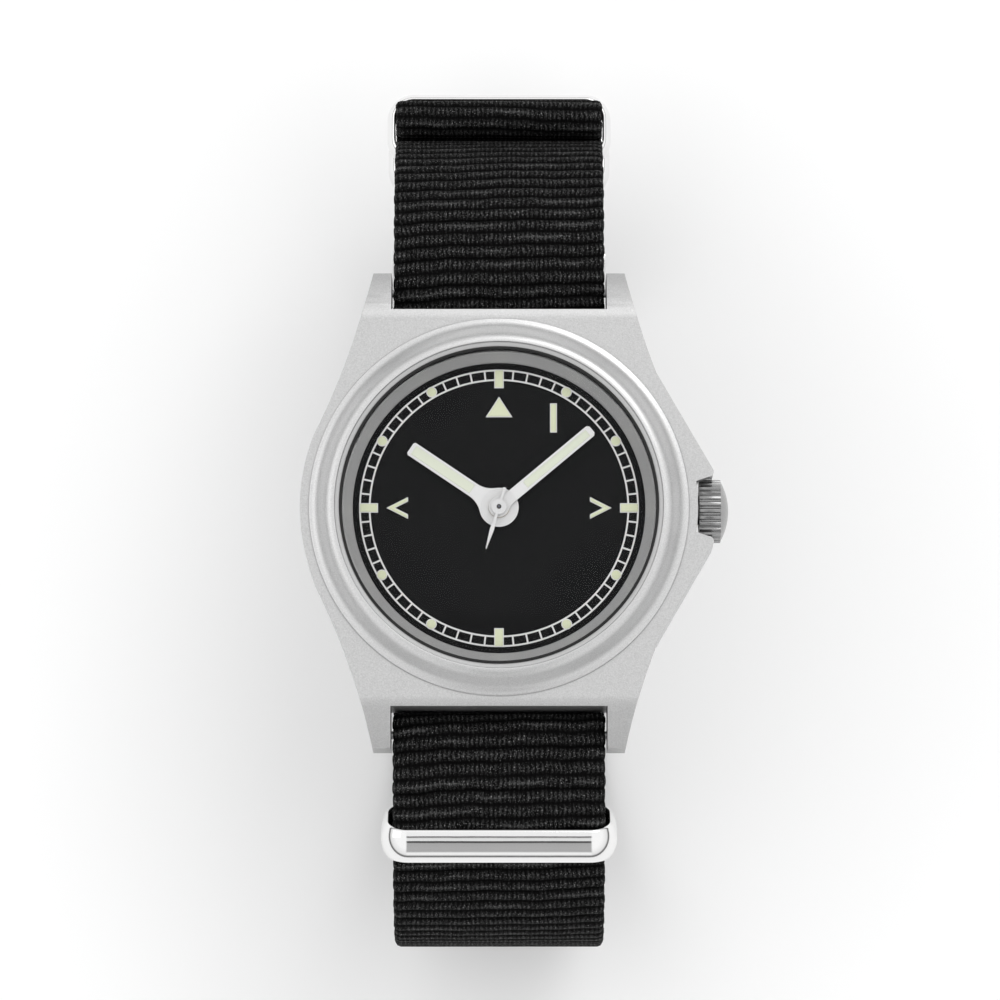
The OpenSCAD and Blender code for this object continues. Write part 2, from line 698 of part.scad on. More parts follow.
module stator() {
    leg_w = 1.2;
    left = coil_at[0] - coil_end + leg_w / 2;
    right = coil_at[0] + coil_end - leg_w / 2;
    color([0.6, 0.6, 0.62]) head() translate([0, 0, 3]) difference() {
        linear_extrude(0.4) union() {
            translate([rotor_at[0], rotor_at[1]]) circle(r = 1.9);
            polygon([
                [left - leg_w / 2, coil_at[1] - 0.6], [left + leg_w / 2, coil_at[1] - 0.6],
                [left + leg_w / 2, coil_at[1] + 1.6], [rotor_at[0], rotor_at[1] - 0.4],
                [rotor_at[0], rotor_at[1] + 0.6], [rotor_at[0] - 1.4, rotor_at[1] + 0.6],
                [left - leg_w / 2, coil_at[1] + 1.9]
            ]);
            polygon([
                [right + leg_w / 2, coil_at[1] + 1.9], [rotor_at[0] + 1.8, rotor_at[1] + 0.6],
                [rotor_at[0], rotor_at[1] + 0.6], [rotor_at[0], rotor_at[1] - 0.4],
                [right - leg_w / 2, coil_at[1] + 1.6], [right - leg_w / 2, coil_at[1] - 0.6],
                [right + leg_w / 2, coil_at[1] - 0.6]
            ]);
        }
        translate([rotor_at[0], rotor_at[1], -1]) cylinder(r = 1, h = 3);
    }
}
module coil_core() {
    color([0.6, 0.6, 0.62]) head() translate([coil_at[0], coil_at[1], 3.4]) {
        for (side = [-1, 1]) translate([side * (coil_end - 0.6) - 0.6, -0.6, 0]) cube([1.2, 1.2, 0.3]);
        translate([-coil_end + 0.1, -0.35, 0]) cube([2 * coil_end - 0.2, 0.7, 0.3]);
    }
}
module coil_winding() {
    color([0.65, 0.3, 0.15]) head() difference() {
        translate([coil_at[0], coil_at[1], 3.55]) rod_x(0.62, coil_l);
        translate([coil_at[0] - 10, coil_at[1] - 0.35, 3.4]) cube([20, 0.7, 0.3]);
    }
}
board_z = 2.1;
board_t = 0.2;
module circuit_board() {
    color([0.1, 0.35, 0.15]) head() difference() {
        translate([0, 0, board_z]) intersection() {
            cylinder(r = movement_r - 0.2, h = board_t, $fn = 120);
            translate([-2.3, -9.2, -1]) cube([11.5, 14.8, 3]);
        }
        for (at = screw_places) translate([at[0], at[1], 0]) cylinder(r = 0.9, h = 10);
        translate([battery_at[0], battery_at[1], 0]) cylinder(r = battery_r + 0.25, h = 10);
    }
}
module driver_chip() {
    color([0.08, 0.08, 0.08]) head() translate([4.2, -0.6, board_z - 0.4]) cube([2.6, 2.2, 0.4]);
}
module quartz_can() {
    color(polished) head() translate([quartz_at[0], quartz_at[1], plate_under - 0.75]) rod_x(0.75, 5);
}
module battery() {
    color([0.78, 0.78, 0.8]) head() translate([battery_at[0], battery_at[1], battery_under]) {
        cylinder(r = battery_r, h = battery_h - 0.35);
        cylinder(r = battery_r - 0.4, h = battery_h);
    }
}
clamp_t = 0.15;
module battery_clamp() {
    post = [battery_at[0] - 0.6, battery_at[1] + battery_r + 1.2];
    color(steel) head() {
        translate([battery_at[0] - 1.2, battery_at[1] - 1, battery_under - clamp_t])
            cube([1.2, battery_r + 2.8, clamp_t]);
        translate([post[0], post[1], battery_under - clamp_t + eps])
            cylinder(r = 0.5, h = plate_under - battery_under + clamp_t - eps);
    }
}
module movement_ring() {
    color([0.9, 0.9, 0.88]) head() difference() {
        translate([0, 0, back_bore_top + 0.2]) tube(case_bore_r - 0.1, movement_r + 0.05,
            dial_face - dial_t - back_bore_top - 0.2, $fn = 120);
        translate([13, 0, stem_z]) rod_x(tube_r + 0.1, 6);
        translate([0, 0, plate_top]) cylinder(r = 12.2, h = 0.9);
    }
}

// Dial and hands

centre_hole_r = hour_pipe_r + 0.1;
foot_at = 12.6;
module dial() {
    color([0.03, 0.03, 0.03]) head() translate([0, 0, dial_face - dial_t]) difference() {
        cylinder(r = dial_r, h = dial_t, $fn = 180);
        translate([0, 0, -1]) cylinder(r = centre_hole_r, h = 3);
    }
}
module stroke(p, q, w) {
    d = q - p;
    translate(p) rotate(atan2(d[1], d[0])) translate([0, -w / 2]) square([norm(d), w]);
}
bar_mark_w = 0.88;
bar_mark_from = 11.25;
chevron_apex = 10.4;
chevron_open = 8.4;
chevron_half = 0.93;
chevron_w = 0.36;
triangle_apex = 10.3;
triangle_base = 8.5;
triangle_half = 1.22;
dot_r = 0.5;
one_bar_x = 5.05;
one_bar = [7, 9.8];
module marks() {
    for (i = [0:3]) rotate(90 * i) translate([-bar_mark_w / 2, bar_mark_from])
        square([bar_mark_w, track_r - bar_mark_from]);
    polygon([[0, triangle_apex], [triangle_half, triangle_base], [-triangle_half, triangle_base]]);
    for (side = [-1, 1]) for (half = [-1, 1])
        stroke([side * chevron_open, half * chevron_half], [side * chevron_apex, 0], chevron_w);
    translate([one_bar_x - 0.3, one_bar[0]]) square([0.6, one_bar[1] - one_bar[0]]);
    for (hour = [1:11]) if (hour % 3 != 0) rotate(-30 * hour)
        translate([0, (track_r + track_inner_r) / 2]) circle(r = dot_r, $fn = 24);
}
module minute_track() {
    for (r = [track_r, track_inner_r]) difference() {
        circle(r = r, $fn = 120);
        circle(r = r - line_w, $fn = 120);
    }
    for (i = [0:59]) rotate(-6 * i) translate([-line_w / 2, track_inner_r - line_w / 2])
        square([line_w, track_r - track_inner_r]);
}
module dial_markings() {
    color(cream) head() translate([0, 0, dial_face]) linear_extrude(mark_t) union() {
        marks();
        minute_track();
    }
}
module blade(w, length, chamfer) {
    polygon([
        [-w / 2, 0], [w / 2, 0], [w / 2, length - chamfer], [w / 2 - chamfer, length],
        [-w / 2 + chamfer, length], [-w / 2, length - chamfer]
    ]);
}
lume_border = 0.22;
minute_hub_r = 0.95;
module hour_hand() {
    color(white) head() at_hour(hour_angle) translate([0, 0, hour_hand_z]) difference() {
        linear_extrude(hand_t) union() {
            circle(r = hour_hub_r);
            blade(hour_hand_w, hour_hand_l, 0.2);
            polygon([[-1.4, 1], [1.4, 1], [hour_hand_w / 2, 3], [-hour_hand_w / 2, 3]]);
        }
        translate([-hour_hand_w / 2 + lume_border, 3, -1])
            cube([hour_hand_w - 2 * lume_border, hour_hand_l - 3.35, 3]);
        translate([0, 0, -1]) cylinder(r = hour_pipe_r, h = 3);
    }
}
module hour_hand_lume() {
    color(cream) head() at_hour(hour_angle)
        translate([-hour_hand_w / 2 + lume_border, 3, hour_hand_z + 0.03])
            cube([hour_hand_w - 2 * lume_border, hour_hand_l - 3.35, hand_t - 0.05]);
}
module minute_hand() {
    color(white) head() at_hour(minute_angle) translate([0, 0, minute_hand_z]) difference() {
        linear_extrude(hand_t) union() {
            circle(r = minute_hub_r);
            blade(minute_hand_w, minute_hand_l, 0.28);
        }
        translate([-minute_hand_w / 2 + lume_border, 3.2, -1])
            cube([minute_hand_w - 2 * lume_border, minute_hand_l - 3.7, 3]);
        translate([0, 0, -1]) cylinder(r = cannon_r, h = 3);
    }
}
module minute_hand_lume() {
    color(cream) head() at_hour(minute_angle)
        translate([-minute_hand_w / 2 + lume_border, 3.2, minute_hand_z + 0.03])
            cube([minute_hand_w - 2 * lume_border, minute_hand_l - 3.7, hand_t - 0.05]);
}
second_hub_r = 0.72;
second_tail = 1.85;
module second_hand() {
    color(white) head() at_hour(second_angle) translate([0, 0, second_hand_z]) difference() {
        linear_extrude(hand_t) union() {
            circle(r = second_hub_r);
            polygon([
                [-0.12, 0.4], [0.12, 0.4], [0.2, second_hand_l * 0.55], [0.03, second_hand_l],
                [-0.03, second_hand_l], [-0.2, second_hand_l * 0.55]
            ]);
            polygon([[-0.14, -second_tail], [0.14, -second_tail], [0.1, -0.4], [-0.1, -0.4]]);
        }
        translate([0, 0, -1]) cylinder(r = seconds_arbor_r, h = 3);
    }
}

// Spring bars

bar_tube_r = 0.75;
bar_wall = 0.25;
bar_tube_l = lug_gap - 2.2;
tip_r = 0.4;
tip_reach = 0.75;
tip_head_r = bar_tube_r - bar_wall - run_gap;
tip_head_l = 1.6;
module at_bar(side, hand) {
    translate([0, side * spring_bar_y, bar_height]) rotate([0, hand * 90, 0]) children();
}
module spring_bar_tubes() {
    color(steel) for (side = [-1, 1]) at_bar(side, 1) difference() {
        translate([0, 0, -bar_tube_l / 2]) cylinder(r = bar_tube_r, h = bar_tube_l);
        translate([0, 0, -20]) cylinder(r = bar_tube_r - bar_wall, h = 40);
    }
}
module bar_tip(side, hand) {
    neck = lug_gap / 2 + tip_reach;
    color(polished) at_bar(side, hand) {
        translate([0, 0, bar_tube_l / 2 - 1.8]) cylinder(r = tip_head_r, h = tip_head_l);
        translate([0, 0, bar_tube_l / 2 - 1]) cylinder(r = tip_r - 0.02, h = neck - bar_tube_l / 2 + 1);
    }
}
module bar_tip_12_left() { bar_tip(1, -1); }
module bar_tip_12_right() { bar_tip(1, 1); }
module bar_tip_6_left() { bar_tip(-1, -1); }
module bar_tip_6_right() { bar_tip(-1, 1); }
module bar_spring(side) {
    color(polished) at_bar(side, 1) difference() {
        translate([0, 0, -bar_tube_l / 2 + 2.9]) cylinder(r = tip_head_r - 0.02, h = bar_tube_l - 5.8);
        translate([0, 0, -20]) cylinder(r = 0.25, h = 40);
    }
}
module bar_spring_12() { bar_spring(1); }
module bar_spring_6() { bar_spring(-1); }

// Strap routes: lists of [y, z, heading] along the middle line

half_t = strap_t / 2;
layer = strap_t + strap_gap;
ring_clear = 0.25;
bar_pass_r = bar_tube_r + strap_gap + half_t;
gap_y = spring_bar_y - bar_pass_r;
over_bar_z = bar_height + bar_pass_r;
under_case_z = head_z - strap_gap - half_t;
case_corner_r = 1.1;
upper_z = over_bar_z - upper_bend_r;
lower_z = half_t + lower_bend_r;
upper_12 = [reach_12 - upper_bend_r, upper_z];
upper_6 = [-reach_6 + upper_bend_r, upper_z];
lower_12 = [reach_12 - lower_bend_r, lower_z];
lower_6 = [-reach_6 + lower_bend_r, lower_z];

// Points on an arc from angle a to angle b
function arc(c, r, a, b, step = 7.5) =
    let (n = max(1, ceil(abs(b - a) / step)), way = b > a ? 90 : -90)
    [for (i = [0:n]) let (t = a + (b - a) * i / n) [c[0] + r * cos(t), c[1] + r * sin(t), t + way]];
function offset_point(s, d) = [s[0] - d * sin(s[2]), s[1] + d * cos(s[2])];
module band(route, t = strap_t) {
    n = len(route);
    polygon(concat(
        [for (s = route) offset_point(s, t / 2)],
        [for (i = [n - 1:-1:0]) offset_point(route[i], -t / 2)]
    ));
}

fold_r = buckle_bar_r + strap_gap + half_t;
buckle_bar_at = lower_12 + (lower_bend_r - fold_r) * unit(buckle_bar_angle);
tail_lift = layer;
tail_r = lower_bend_r + tail_lift;
cross_from = buckle_rim_angle + 1;
cross_to = buckle_bar_angle - 2.5;
cross_steps = 8;
// The tail steps out from under the rim to pass over the fixed bar
function cross_point(u) =
    let (
        a = cross_from + (cross_to - cross_from) * u,
        r = lower_bend_r + tail_lift * (3 * u * u - 2 * u * u * u),
        slope = tail_lift * 6 * u * (1 - u) / ((cross_to - cross_from) * PI / 180) / r
    )
    [lower_12[0] + r * cos(a), lower_12[1] + r * sin(a), a + 90 - atan(slope)];

lower_keeper_in = lower_bend_r - layer - half_t - ring_clear;
tail_end_z = lower_z + (lower_keeper_in + ring_opening) * sin(lower_keeper_angle)
    + ring_l / 2 * cos(lower_keeper_angle) + tail_end_gap;
fold_out_turn = -18;
fold_lap = 3.9;
fold_start_a = buckle_bar_angle + 180 + fold_out_turn;
fold_start = buckle_bar_at + fold_r * unit(fold_start_a);
fold_end = fold_start - fold_lap * unit(fold_start_a + 90);
tail_fold_r = 1.1;
tail_x = reach_12 + tail_lift;
tail_fold_z = tail_fold_top - tail_fold_r - half_t;
tail_fold_at = [tail_x + tail_fold_r, tail_fold_z];

long_route = concat(
    [[fold_end[0], fold_end[1], fold_start_a + 90]],
    arc(buckle_bar_at, fold_r, fold_start_a, buckle_bar_angle + 360, 20),
    arc(lower_12, lower_bend_r, buckle_bar_angle, 0),
    arc(upper_12, upper_bend_r, 0, 90),
    arc([spring_bar_y, bar_height], bar_pass_r, 90, 180, 15),
    arc([gap_y - case_corner_r, under_case_z + case_corner_r], case_corner_r, 0, -90, 15),
    arc([-gap_y + case_corner_r, under_case_z + case_corner_r], case_corner_r, -90, -180, 15),
    arc([-spring_bar_y, bar_height], bar_pass_r, 0, 90, 15),
    arc(upper_6, upper_bend_r, 90, 180),
    arc(lower_6, lower_bend_r, 180, 270),
    arc(lower_12, lower_bend_r, -90, cross_from),
    [for (i = [1:cross_steps]) cross_point(i / cross_steps)],
    arc(lower_12, tail_r, cross_to + 2, 0),
    arc(tail_fold_at, tail_fold_r, 180, 0, 15),
    [[tail_x + 2 * tail_fold_r, tail_end_z, -90]]
);

tongue_slot_w = 2.5;
hole_pitch = 7.5;
hole_r = 0.9;
module slot_on_bend(from, to, r_in, r_out) {
    for (a = [from:3:to]) translate([0, lower_12[0], lower_12[1]]) rotate([a, 0, 0])
        translate([-tongue_slot_w / 2, r_in, -0.65]) cube([tongue_slot_w, r_out - r_in, 1.3]);
}
module strap_long() {
    color(webbing) difference() {
        along_x(strap_w) band(long_route);
        slot_on_bend(buckle_rim_angle + 1.5, buckle_bar_angle - 6.5, lower_bend_r - 2, lower_bend_r + 4);
        translate([0, buckle_bar_at[0], buckle_bar_at[1]]) rod_x(2.2, tongue_slot_w);
        for (i = [0:3]) translate([0, lower_12[0] - 4 - i * hole_pitch, -1]) cylinder(r = hole_r, h = 4);
    }
}

// The end ring hangs in a loop at the end of the short strap

end_dir = unit(90 + end_ring_angle);
end_along = unit(180 + end_ring_angle);
end_rim_in = upper_bend_r + half_t + ring_clear;
end_bar_at = upper_6 + (end_rim_in - ring_opening - ring_t / 2) * end_dir;
loop_clear = 0.34;
loop_pass = ring_t / 2 + loop_clear + half_t;
loop_far = end_bar_at + (ring_l / 2 - ring_t / 2 + 0.1) * end_along;
short_z = under_case_z - layer;
short_corner_r = 9;
bend_a = 2.5;
bend_b = 1.5;
lap_z = short_z + layer + 0.2;
function bend_y(z, want) = (want - z * end_dir[1]) / end_dir[0];
bend_a_at = [bend_y(short_z - bend_a, end_bar_at * end_dir - loop_pass - bend_a), short_z - bend_a];
bend_b_at = [bend_y(lap_z - bend_b, end_bar_at * end_dir + loop_pass - bend_b), lap_z - bend_b];
// The short strap steps inwards to let the upper keeper's inner bar through
short_step = ring_clear + ring_t + 0.2 - strap_gap;
short_reach = reach_12 - layer - short_step;
short_start_angle = -19.5;
short_step_angle = -5;
short_step_top = keeper_z - ring_l / 2 - 0.3;
short_step_foot = lower_12 + (lower_bend_r - layer) * unit(short_step_angle);
short_step_n = 6;
function smooth(u) = 3 * u * u - 2 * u * u * u;
function short_step_point(u) =
    let (
        rise = short_step_top - short_step_foot[1],
        lean = (1 - u) * tan(-short_step_angle) - 6 * u * (1 - u) * short_step / rise,
        y = short_step_foot[0] + (reach_12 - layer - short_step_foot[0]) * (1 - (1 - u) * (1 - u))
            - short_step * smooth(u)
    )
    [y, short_step_foot[1] + u * rise, 90 - atan(lean)];
lap_end_y = -spring_bar_y - bar_pass_r - half_t - 0.4;
short_route = concat(
    arc(lower_12, lower_bend_r - layer, short_start_angle, short_step_angle),
    [for (i = [1:short_step_n]) short_step_point(i / short_step_n)],
    arc([short_reach - short_corner_r, short_z - short_corner_r], short_corner_r, 0, 90),
    arc(bend_a_at, bend_a, 90, 90 + end_ring_angle, 10),
    arc(loop_far, loop_pass, end_ring_angle - 90, end_ring_angle - 270 + 0, 15),
    arc(bend_b_at, bend_b, 90 + end_ring_angle, 90, 10),
    [[lap_end_y, lap_z, 0]]
);
module strap_short() { color(webbing) along_x(strap_w) band(short_route); }

// Stitches cross the two layers that they join
stitch_r = 0.12;
stitch_pitch = 1.6;
stitch_half = strap_w / 2 - 1.6;
module stitch_row(at, dir, length) {
    for (x = [-stitch_half:stitch_pitch:stitch_half + eps])
        translate([x, at[0], at[1]]) rotate([dir - 90, 0, 0])
            translate([0, 0, -length / 2]) cylinder(r = stitch_r, h = length, $fn = 12);
}
module strap_stitching() {
    seam_l = 2 * strap_t + strap_gap + 0.1;
    color([0.16, 0.16, 0.17]) {
        for (a = [short_start_angle + 1.5, short_start_angle + 5])
            stitch_row(lower_12 + (lower_bend_r - layer / 2) * unit(a), a, seam_l);
        stitch_row([lap_end_y - 0.8, (lap_z + short_z) / 2], 90, seam_l + 0.2);
    }
}

// Rings and buckle

module rounded_plan(w, h, r) {
    union() {
        square([w - 2 * r, h], center = true);
        square([w, h - 2 * r], center = true);
        for (x = [-1, 1]) for (y = [-1, 1]) translate([x * (w / 2 - r), y * (h / 2 - r)]) circle(r = r);
    }
}
// A bent strip; its middle lies at the origin, the strap runs along Z
module ring_loop(w) {
    h = ring_opening + 2 * ring_t;
    translate([0, 0, -ring_l / 2]) linear_extrude(ring_l) difference() {
        rounded_plan(w, h, ring_corner_r);
        rounded_plan(w - 2 * ring_t, h - 2 * ring_t, ring_inner_corner_r);
    }
}
keeper_inner = reach_12 - half_t - ring_clear;
module keeper_upper() {
    color(polished) translate([0, keeper_inner + ring_opening / 2, keeper_z]) ring_loop(keeper_w);
}
module keeper_lower() {
    color(polished) translate([0, lower_12[0], lower_12[1]]) rotate([lower_keeper_angle, 0, 0])
        translate([0, lower_keeper_in + ring_opening / 2, 0]) ring_loop(keeper_w);
}
module end_ring() {
    middle = end_bar_at + (ring_opening / 2 + ring_t / 2) * end_dir;
    color(polished) translate([0, middle[0], middle[1]]) rotate([end_ring_angle + 90, 0, 0])
        ring_loop(end_ring_w);
}
rim_at = lower_12 + (lower_bend_r + half_t + strap_gap + buckle_rim_r) * unit(buckle_rim_angle);
frame_inner_w = strap_w + 2 * buckle_side_gap;
side_t = 0.6;
side_end_r = 0.9;
module buckle_frame() {
    span = rim_at - buckle_bar_at;
    color(polished) {
        translate([0, buckle_bar_at[0], buckle_bar_at[1]]) rod_x(buckle_bar_r, frame_inner_w + eps);
        translate([0, rim_at[0], rim_at[1]]) rod_x(buckle_rim_r, frame_inner_w + eps);
        for (side = [-1, 1]) translate([side * (frame_inner_w + side_t) / 2, 0, 0]) {
            translate([0, buckle_bar_at[0], buckle_bar_at[1]]) rod_x(side_end_r, side_t);
            translate([0, rim_at[0], rim_at[1]]) rod_x(side_end_r, side_t);
            translate([0, buckle_bar_at[0], buckle_bar_at[1]]) rotate([atan2(span[1], span[0]), 0, 0])
                translate([-side_t / 2, 0, -0.8]) cube([side_t, norm(span), 1.6]);
        }
    }
}
tongue_eye_r = 1.3;
tongue_w = 1.7;
tongue_t = 0.8;
tongue_over = 0.6;
module buckle_tongue() {
    span = rim_at - buckle_bar_at;
    reach = norm(span);
    // The tongue leaves the fixed bar's eye and rests on the rim's outer side
    rest_r = buckle_rim_r + 0.03;
    lean = asin((rest_r + tongue_t / 2) / reach);
    color(polished) translate([0, buckle_bar_at[0], buckle_bar_at[1]])
        rotate([atan2(span[1], span[0]) + lean, 0, 0]) difference() {
            union() {
                rod_x(tongue_eye_r, tongue_w);
                translate([-tongue_w / 2, 0, -tongue_t / 2]) cube([tongue_w, reach + tongue_over, tongue_t]);
            }
            rod_x(buckle_bar_r + 0.05, tongue_w + 1);
        }
}

mid_case();
bezel();
crystal();
crystal_gasket();
dial_ring();
case_back();
case_back_gasket();
crown_tube();
crown();
crown_gasket();
winding_stem();
movement_ring();
dial();
dial_markings();
hour_hand();
hour_hand_lume();
minute_hand();
minute_hand_lume();
second_hand();
main_plate();
train_bridge();
bridge_screws();
rotor();
stator();
coil_core();
coil_winding();
intermediate_wheel();
seconds_wheel();
third_wheel();
centre_wheel();
cannon_pinion();
minute_wheel();
hour_wheel();
setting_wheel();
sliding_pinion();
yoke();
setting_lever();
circuit_board();
driver_chip();
quartz_can();
battery();
battery_clamp();
spring_bar_tubes();
bar_tip_12_left();
bar_tip_12_right();
bar_tip_6_left();
bar_tip_6_right();
bar_spring_12();
bar_spring_6();
strap_long();
strap_short();
strap_stitching();
keeper_upper();
keeper_lower();
end_ring();
buckle_frame();
buckle_tongue();
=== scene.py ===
"""Looks of a quartz wristwatch on a closed nylon strap.

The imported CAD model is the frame. The case, bezel, dial, hands, crown, strap, rings and buckle get dressed
pieces with their real edges and finishes; the parts inside the case keep their CAD solids and get materials.
Sizes in the classes are millimetres. Seen from the front, +X points to the crown, +Y to 12 o'clock and +Z to
the eye.
"""
import sys
import logging
import math
from dataclasses import dataclass
from enum import Enum
from typing import Any, Callable, Sequence

import bpy
import numpy as np
from mathutils import Matrix, Vector


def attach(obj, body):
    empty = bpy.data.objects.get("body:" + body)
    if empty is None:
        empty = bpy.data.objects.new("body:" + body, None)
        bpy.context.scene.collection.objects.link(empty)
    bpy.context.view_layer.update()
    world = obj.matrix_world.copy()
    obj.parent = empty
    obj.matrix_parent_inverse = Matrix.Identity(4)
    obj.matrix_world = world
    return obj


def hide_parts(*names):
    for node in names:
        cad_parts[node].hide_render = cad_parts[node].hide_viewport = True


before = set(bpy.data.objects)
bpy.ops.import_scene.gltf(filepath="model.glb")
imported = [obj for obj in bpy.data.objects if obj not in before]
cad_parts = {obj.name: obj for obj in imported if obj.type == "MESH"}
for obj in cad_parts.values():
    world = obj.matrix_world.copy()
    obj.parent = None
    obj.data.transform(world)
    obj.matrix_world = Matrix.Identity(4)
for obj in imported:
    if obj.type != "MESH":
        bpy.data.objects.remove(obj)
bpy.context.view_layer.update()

MM = 0.001
TURN = 2 * math.pi
HEAD = 38.0  # height of the case back above the floor, in millimetres
log = logging.getLogger("watch")
Flat = tuple[float, float]
Outline = list[Flat]


class Axis(Enum):
    """The axes of the frame."""

    X = (1.0, 0.0, 0.0)
    Y = (0.0, 1.0, 0.0)
    Z = (0.0, 0.0, 1.0)


# Materials


class Wire:
    """A value or colour on its way through a material, with the usual arithmetic."""

    def __init__(self, sheet: "Sheet", socket: bpy.types.NodeSocket) -> None:
        """Wraps one output socket."""
        self.sheet = sheet
        self.socket = socket

    def maths(self, operation: str, *others: Any, clamp: bool = False) -> "Wire":
        """Adds one Math node.

        Args:
            operation: the Math node's operation.
            others: further values or wires.
            clamp: keeps the result between 0 and 1.

        Returns:
            The node's result.
        """
        values = dict(enumerate([self, *others]))
        return self.sheet.add("ShaderNodeMath", {"operation": operation, "use_clamp": clamp}, values)

    def __add__(self, other: Any) -> "Wire":
        """Sum."""
        return self.maths("ADD", other)

    __radd__ = __add__

    def __mul__(self, other: Any) -> "Wire":
        """Product."""
        return self.maths("MULTIPLY", other)

    __rmul__ = __mul__

    def __sub__(self, other: Any) -> "Wire":
        """Difference."""
        return self.maths("SUBTRACT", other)

    def __rsub__(self, other: Any) -> "Wire":
        """Difference from a number."""
        return self.sheet.add("ShaderNodeMath", {"operation": "SUBTRACT"}, {0: other, 1: self})

    def __pow__(self, other: Any) -> "Wire":
        """Power."""
        return self.maths("POWER", other)

    def wave(self) -> "Wire":
        """Sine of the value, moved to lie between 0 and 1."""
        return self.maths("SINE") * 0.5 + 0.5

    def between(self, low: float, high: float) -> "Wire":
        """0 below low, 1 above high, straight between them."""
        return ((self - low) * (1 / (high - low))).maths("ADD", 0.0, clamp=True)


class Sheet:
    """The node tree of one material."""

    def __init__(self, name: str) -> None:
        """Starts an empty material.

        Args:
            name: the material's name.
        """
        self.material = bpy.data.materials.new(name)
        self.material.use_nodes = True
        self.tree = self.material.node_tree
        self.tree.nodes.clear()

    def add(self, kind: str, settings: dict[str, Any] | None = None, inputs: dict[Any, Any] | None = None,
            output: int | str = 0) -> Wire:
        """Adds a node of any type.

        Args:
            kind: the node's type.
            settings: its properties, set before the sockets.
            inputs: values or wires by socket name or number.
            output: which output comes back.

        Returns:
            The chosen output.
        """
        node = self.tree.nodes.new(kind)
        for key, value in (settings or {}).items():
            setattr(node, key, value)
        for key, value in (inputs or {}).items():
            if isinstance(value, Wire):
                self.tree.links.new(value.socket, node.inputs[key])
            else:
                node.inputs[key].default_value = value
        return Wire(self, node.outputs[output])

    def place(self) -> Wire:
        """Object coordinates, in metres."""
        return self.add("ShaderNodeTexCoord", output="Object")

    def cloth_place(self) -> Wire:
        """The piece's own UV map, in millimetres across and along the cloth."""
        return self.add("ShaderNodeTexCoord", output="UV")

    def parts(self, vector: Wire) -> tuple[Wire, Wire, Wire]:
        """The three numbers of a vector."""
        node = self.tree.nodes.new("ShaderNodeSeparateXYZ")
        self.tree.links.new(vector.socket, node.inputs[0])
        return tuple(Wire(self, node.outputs[i]) for i in range(3))

    def stretched(self, vector: Wire, scale: Sequence[float]) -> Wire:
        """A vector scaled along each axis."""
        return self.add("ShaderNodeMapping", {}, {"Vector": vector, "Scale": tuple(scale)})

    def grain(self, vector: Wire, size_mm: float, detail: float = 2.0, unit: float = MM) -> Wire:
        """Noise between 0 and 1.

        Args:
            vector: where it is read.
            size_mm: the size of its grains.
            detail: its octaves.
            unit: metres in one millimetre of the vector.

        Returns:
            The noise.
        """
        inputs = {"Vector": vector, "Scale": 1 / (size_mm * unit), "Detail": detail, "Roughness": 0.6}
        return self.add("ShaderNodeTexNoise", {}, inputs)

    def shade(self, factor: Wire | float, dark: Wire | Sequence[float],
              light: Wire | Sequence[float]) -> Wire:
        """A colour between two.

        Args:
            factor: 0 gives the dark colour, 1 the light one.
            dark: red, green and blue, or a colour.
            light: red, green and blue, or a colour.

        Returns:
            The colour.
        """
        dark, light = (colour if isinstance(colour, Wire) else (*colour, 1.0) for colour in (dark, light))
        inputs = {0: factor, 6: dark, 7: light}
        return self.add("ShaderNodeMix", {"data_type": "RGBA"}, inputs, 2)

    def bumped(self, height: Wire, depth_mm: float) -> Wire:
        """A normal from a height between 0 and 1.

        Args:
            height: the height.
            depth_mm: its real depth.

        Returns:
            The normal.
        """
        return self.add("ShaderNodeBump", {}, {"Height": height, "Distance": depth_mm * MM, "Strength": 1.0})

    def finish(self, **sockets: Any) -> bpy.types.Material:
        """Ends the material in one Principled shader.

        Args:
            sockets: its values or wires, with an underscore for each space.

        Returns:
            The material.
        """
        inputs = {name.replace("_", " "): value for name, value in sockets.items()}
        shader = self.add("ShaderNodeBsdfPrincipled", {}, inputs)
        self.add_output(shader)
        return self.material

    def add_output(self, shader: Wire) -> None:
        """Joins a shader to the material's surface."""
        node = self.tree.nodes.new("ShaderNodeOutputMaterial")
        self.tree.links.new(shader.socket, node.inputs["Surface"])


def grey(tone: float, warmth: float = 0.0) -> tuple[float, float, float]:
    """A grey, a little warm where warmth is above 0."""
    return (tone * (1 + warmth), tone, tone * (1 - warmth))


@dataclass(frozen=True)
class BlastedSteel:
    """Steel blasted with fine beads: even, pale and grainy."""

    name: str = "blasted_steel"
    tone: float = 0.54
    roughness: float = 0.42
    grain_mm: float = 0.11
    depth_mm: float = 0.016

    def make(self) -> bpy.types.Material:
        """Builds the material."""
        sheet = Sheet(self.name)
        place = sheet.place()
        grain = sheet.grain(place, self.grain_mm, 3.0)
        patch = sheet.grain(place, 6.0)
        tone = sheet.shade(grain.between(0.3, 0.7), grey(self.tone * 0.86), grey(min(1.0, self.tone * 1.12)))
        rough = self.roughness + 0.1 * (grain - 0.5) + 0.05 * (patch - 0.5)
        return sheet.finish(Base_Color=tone, Metallic=1.0, Roughness=rough,
                            Normal=sheet.bumped(grain, self.depth_mm))


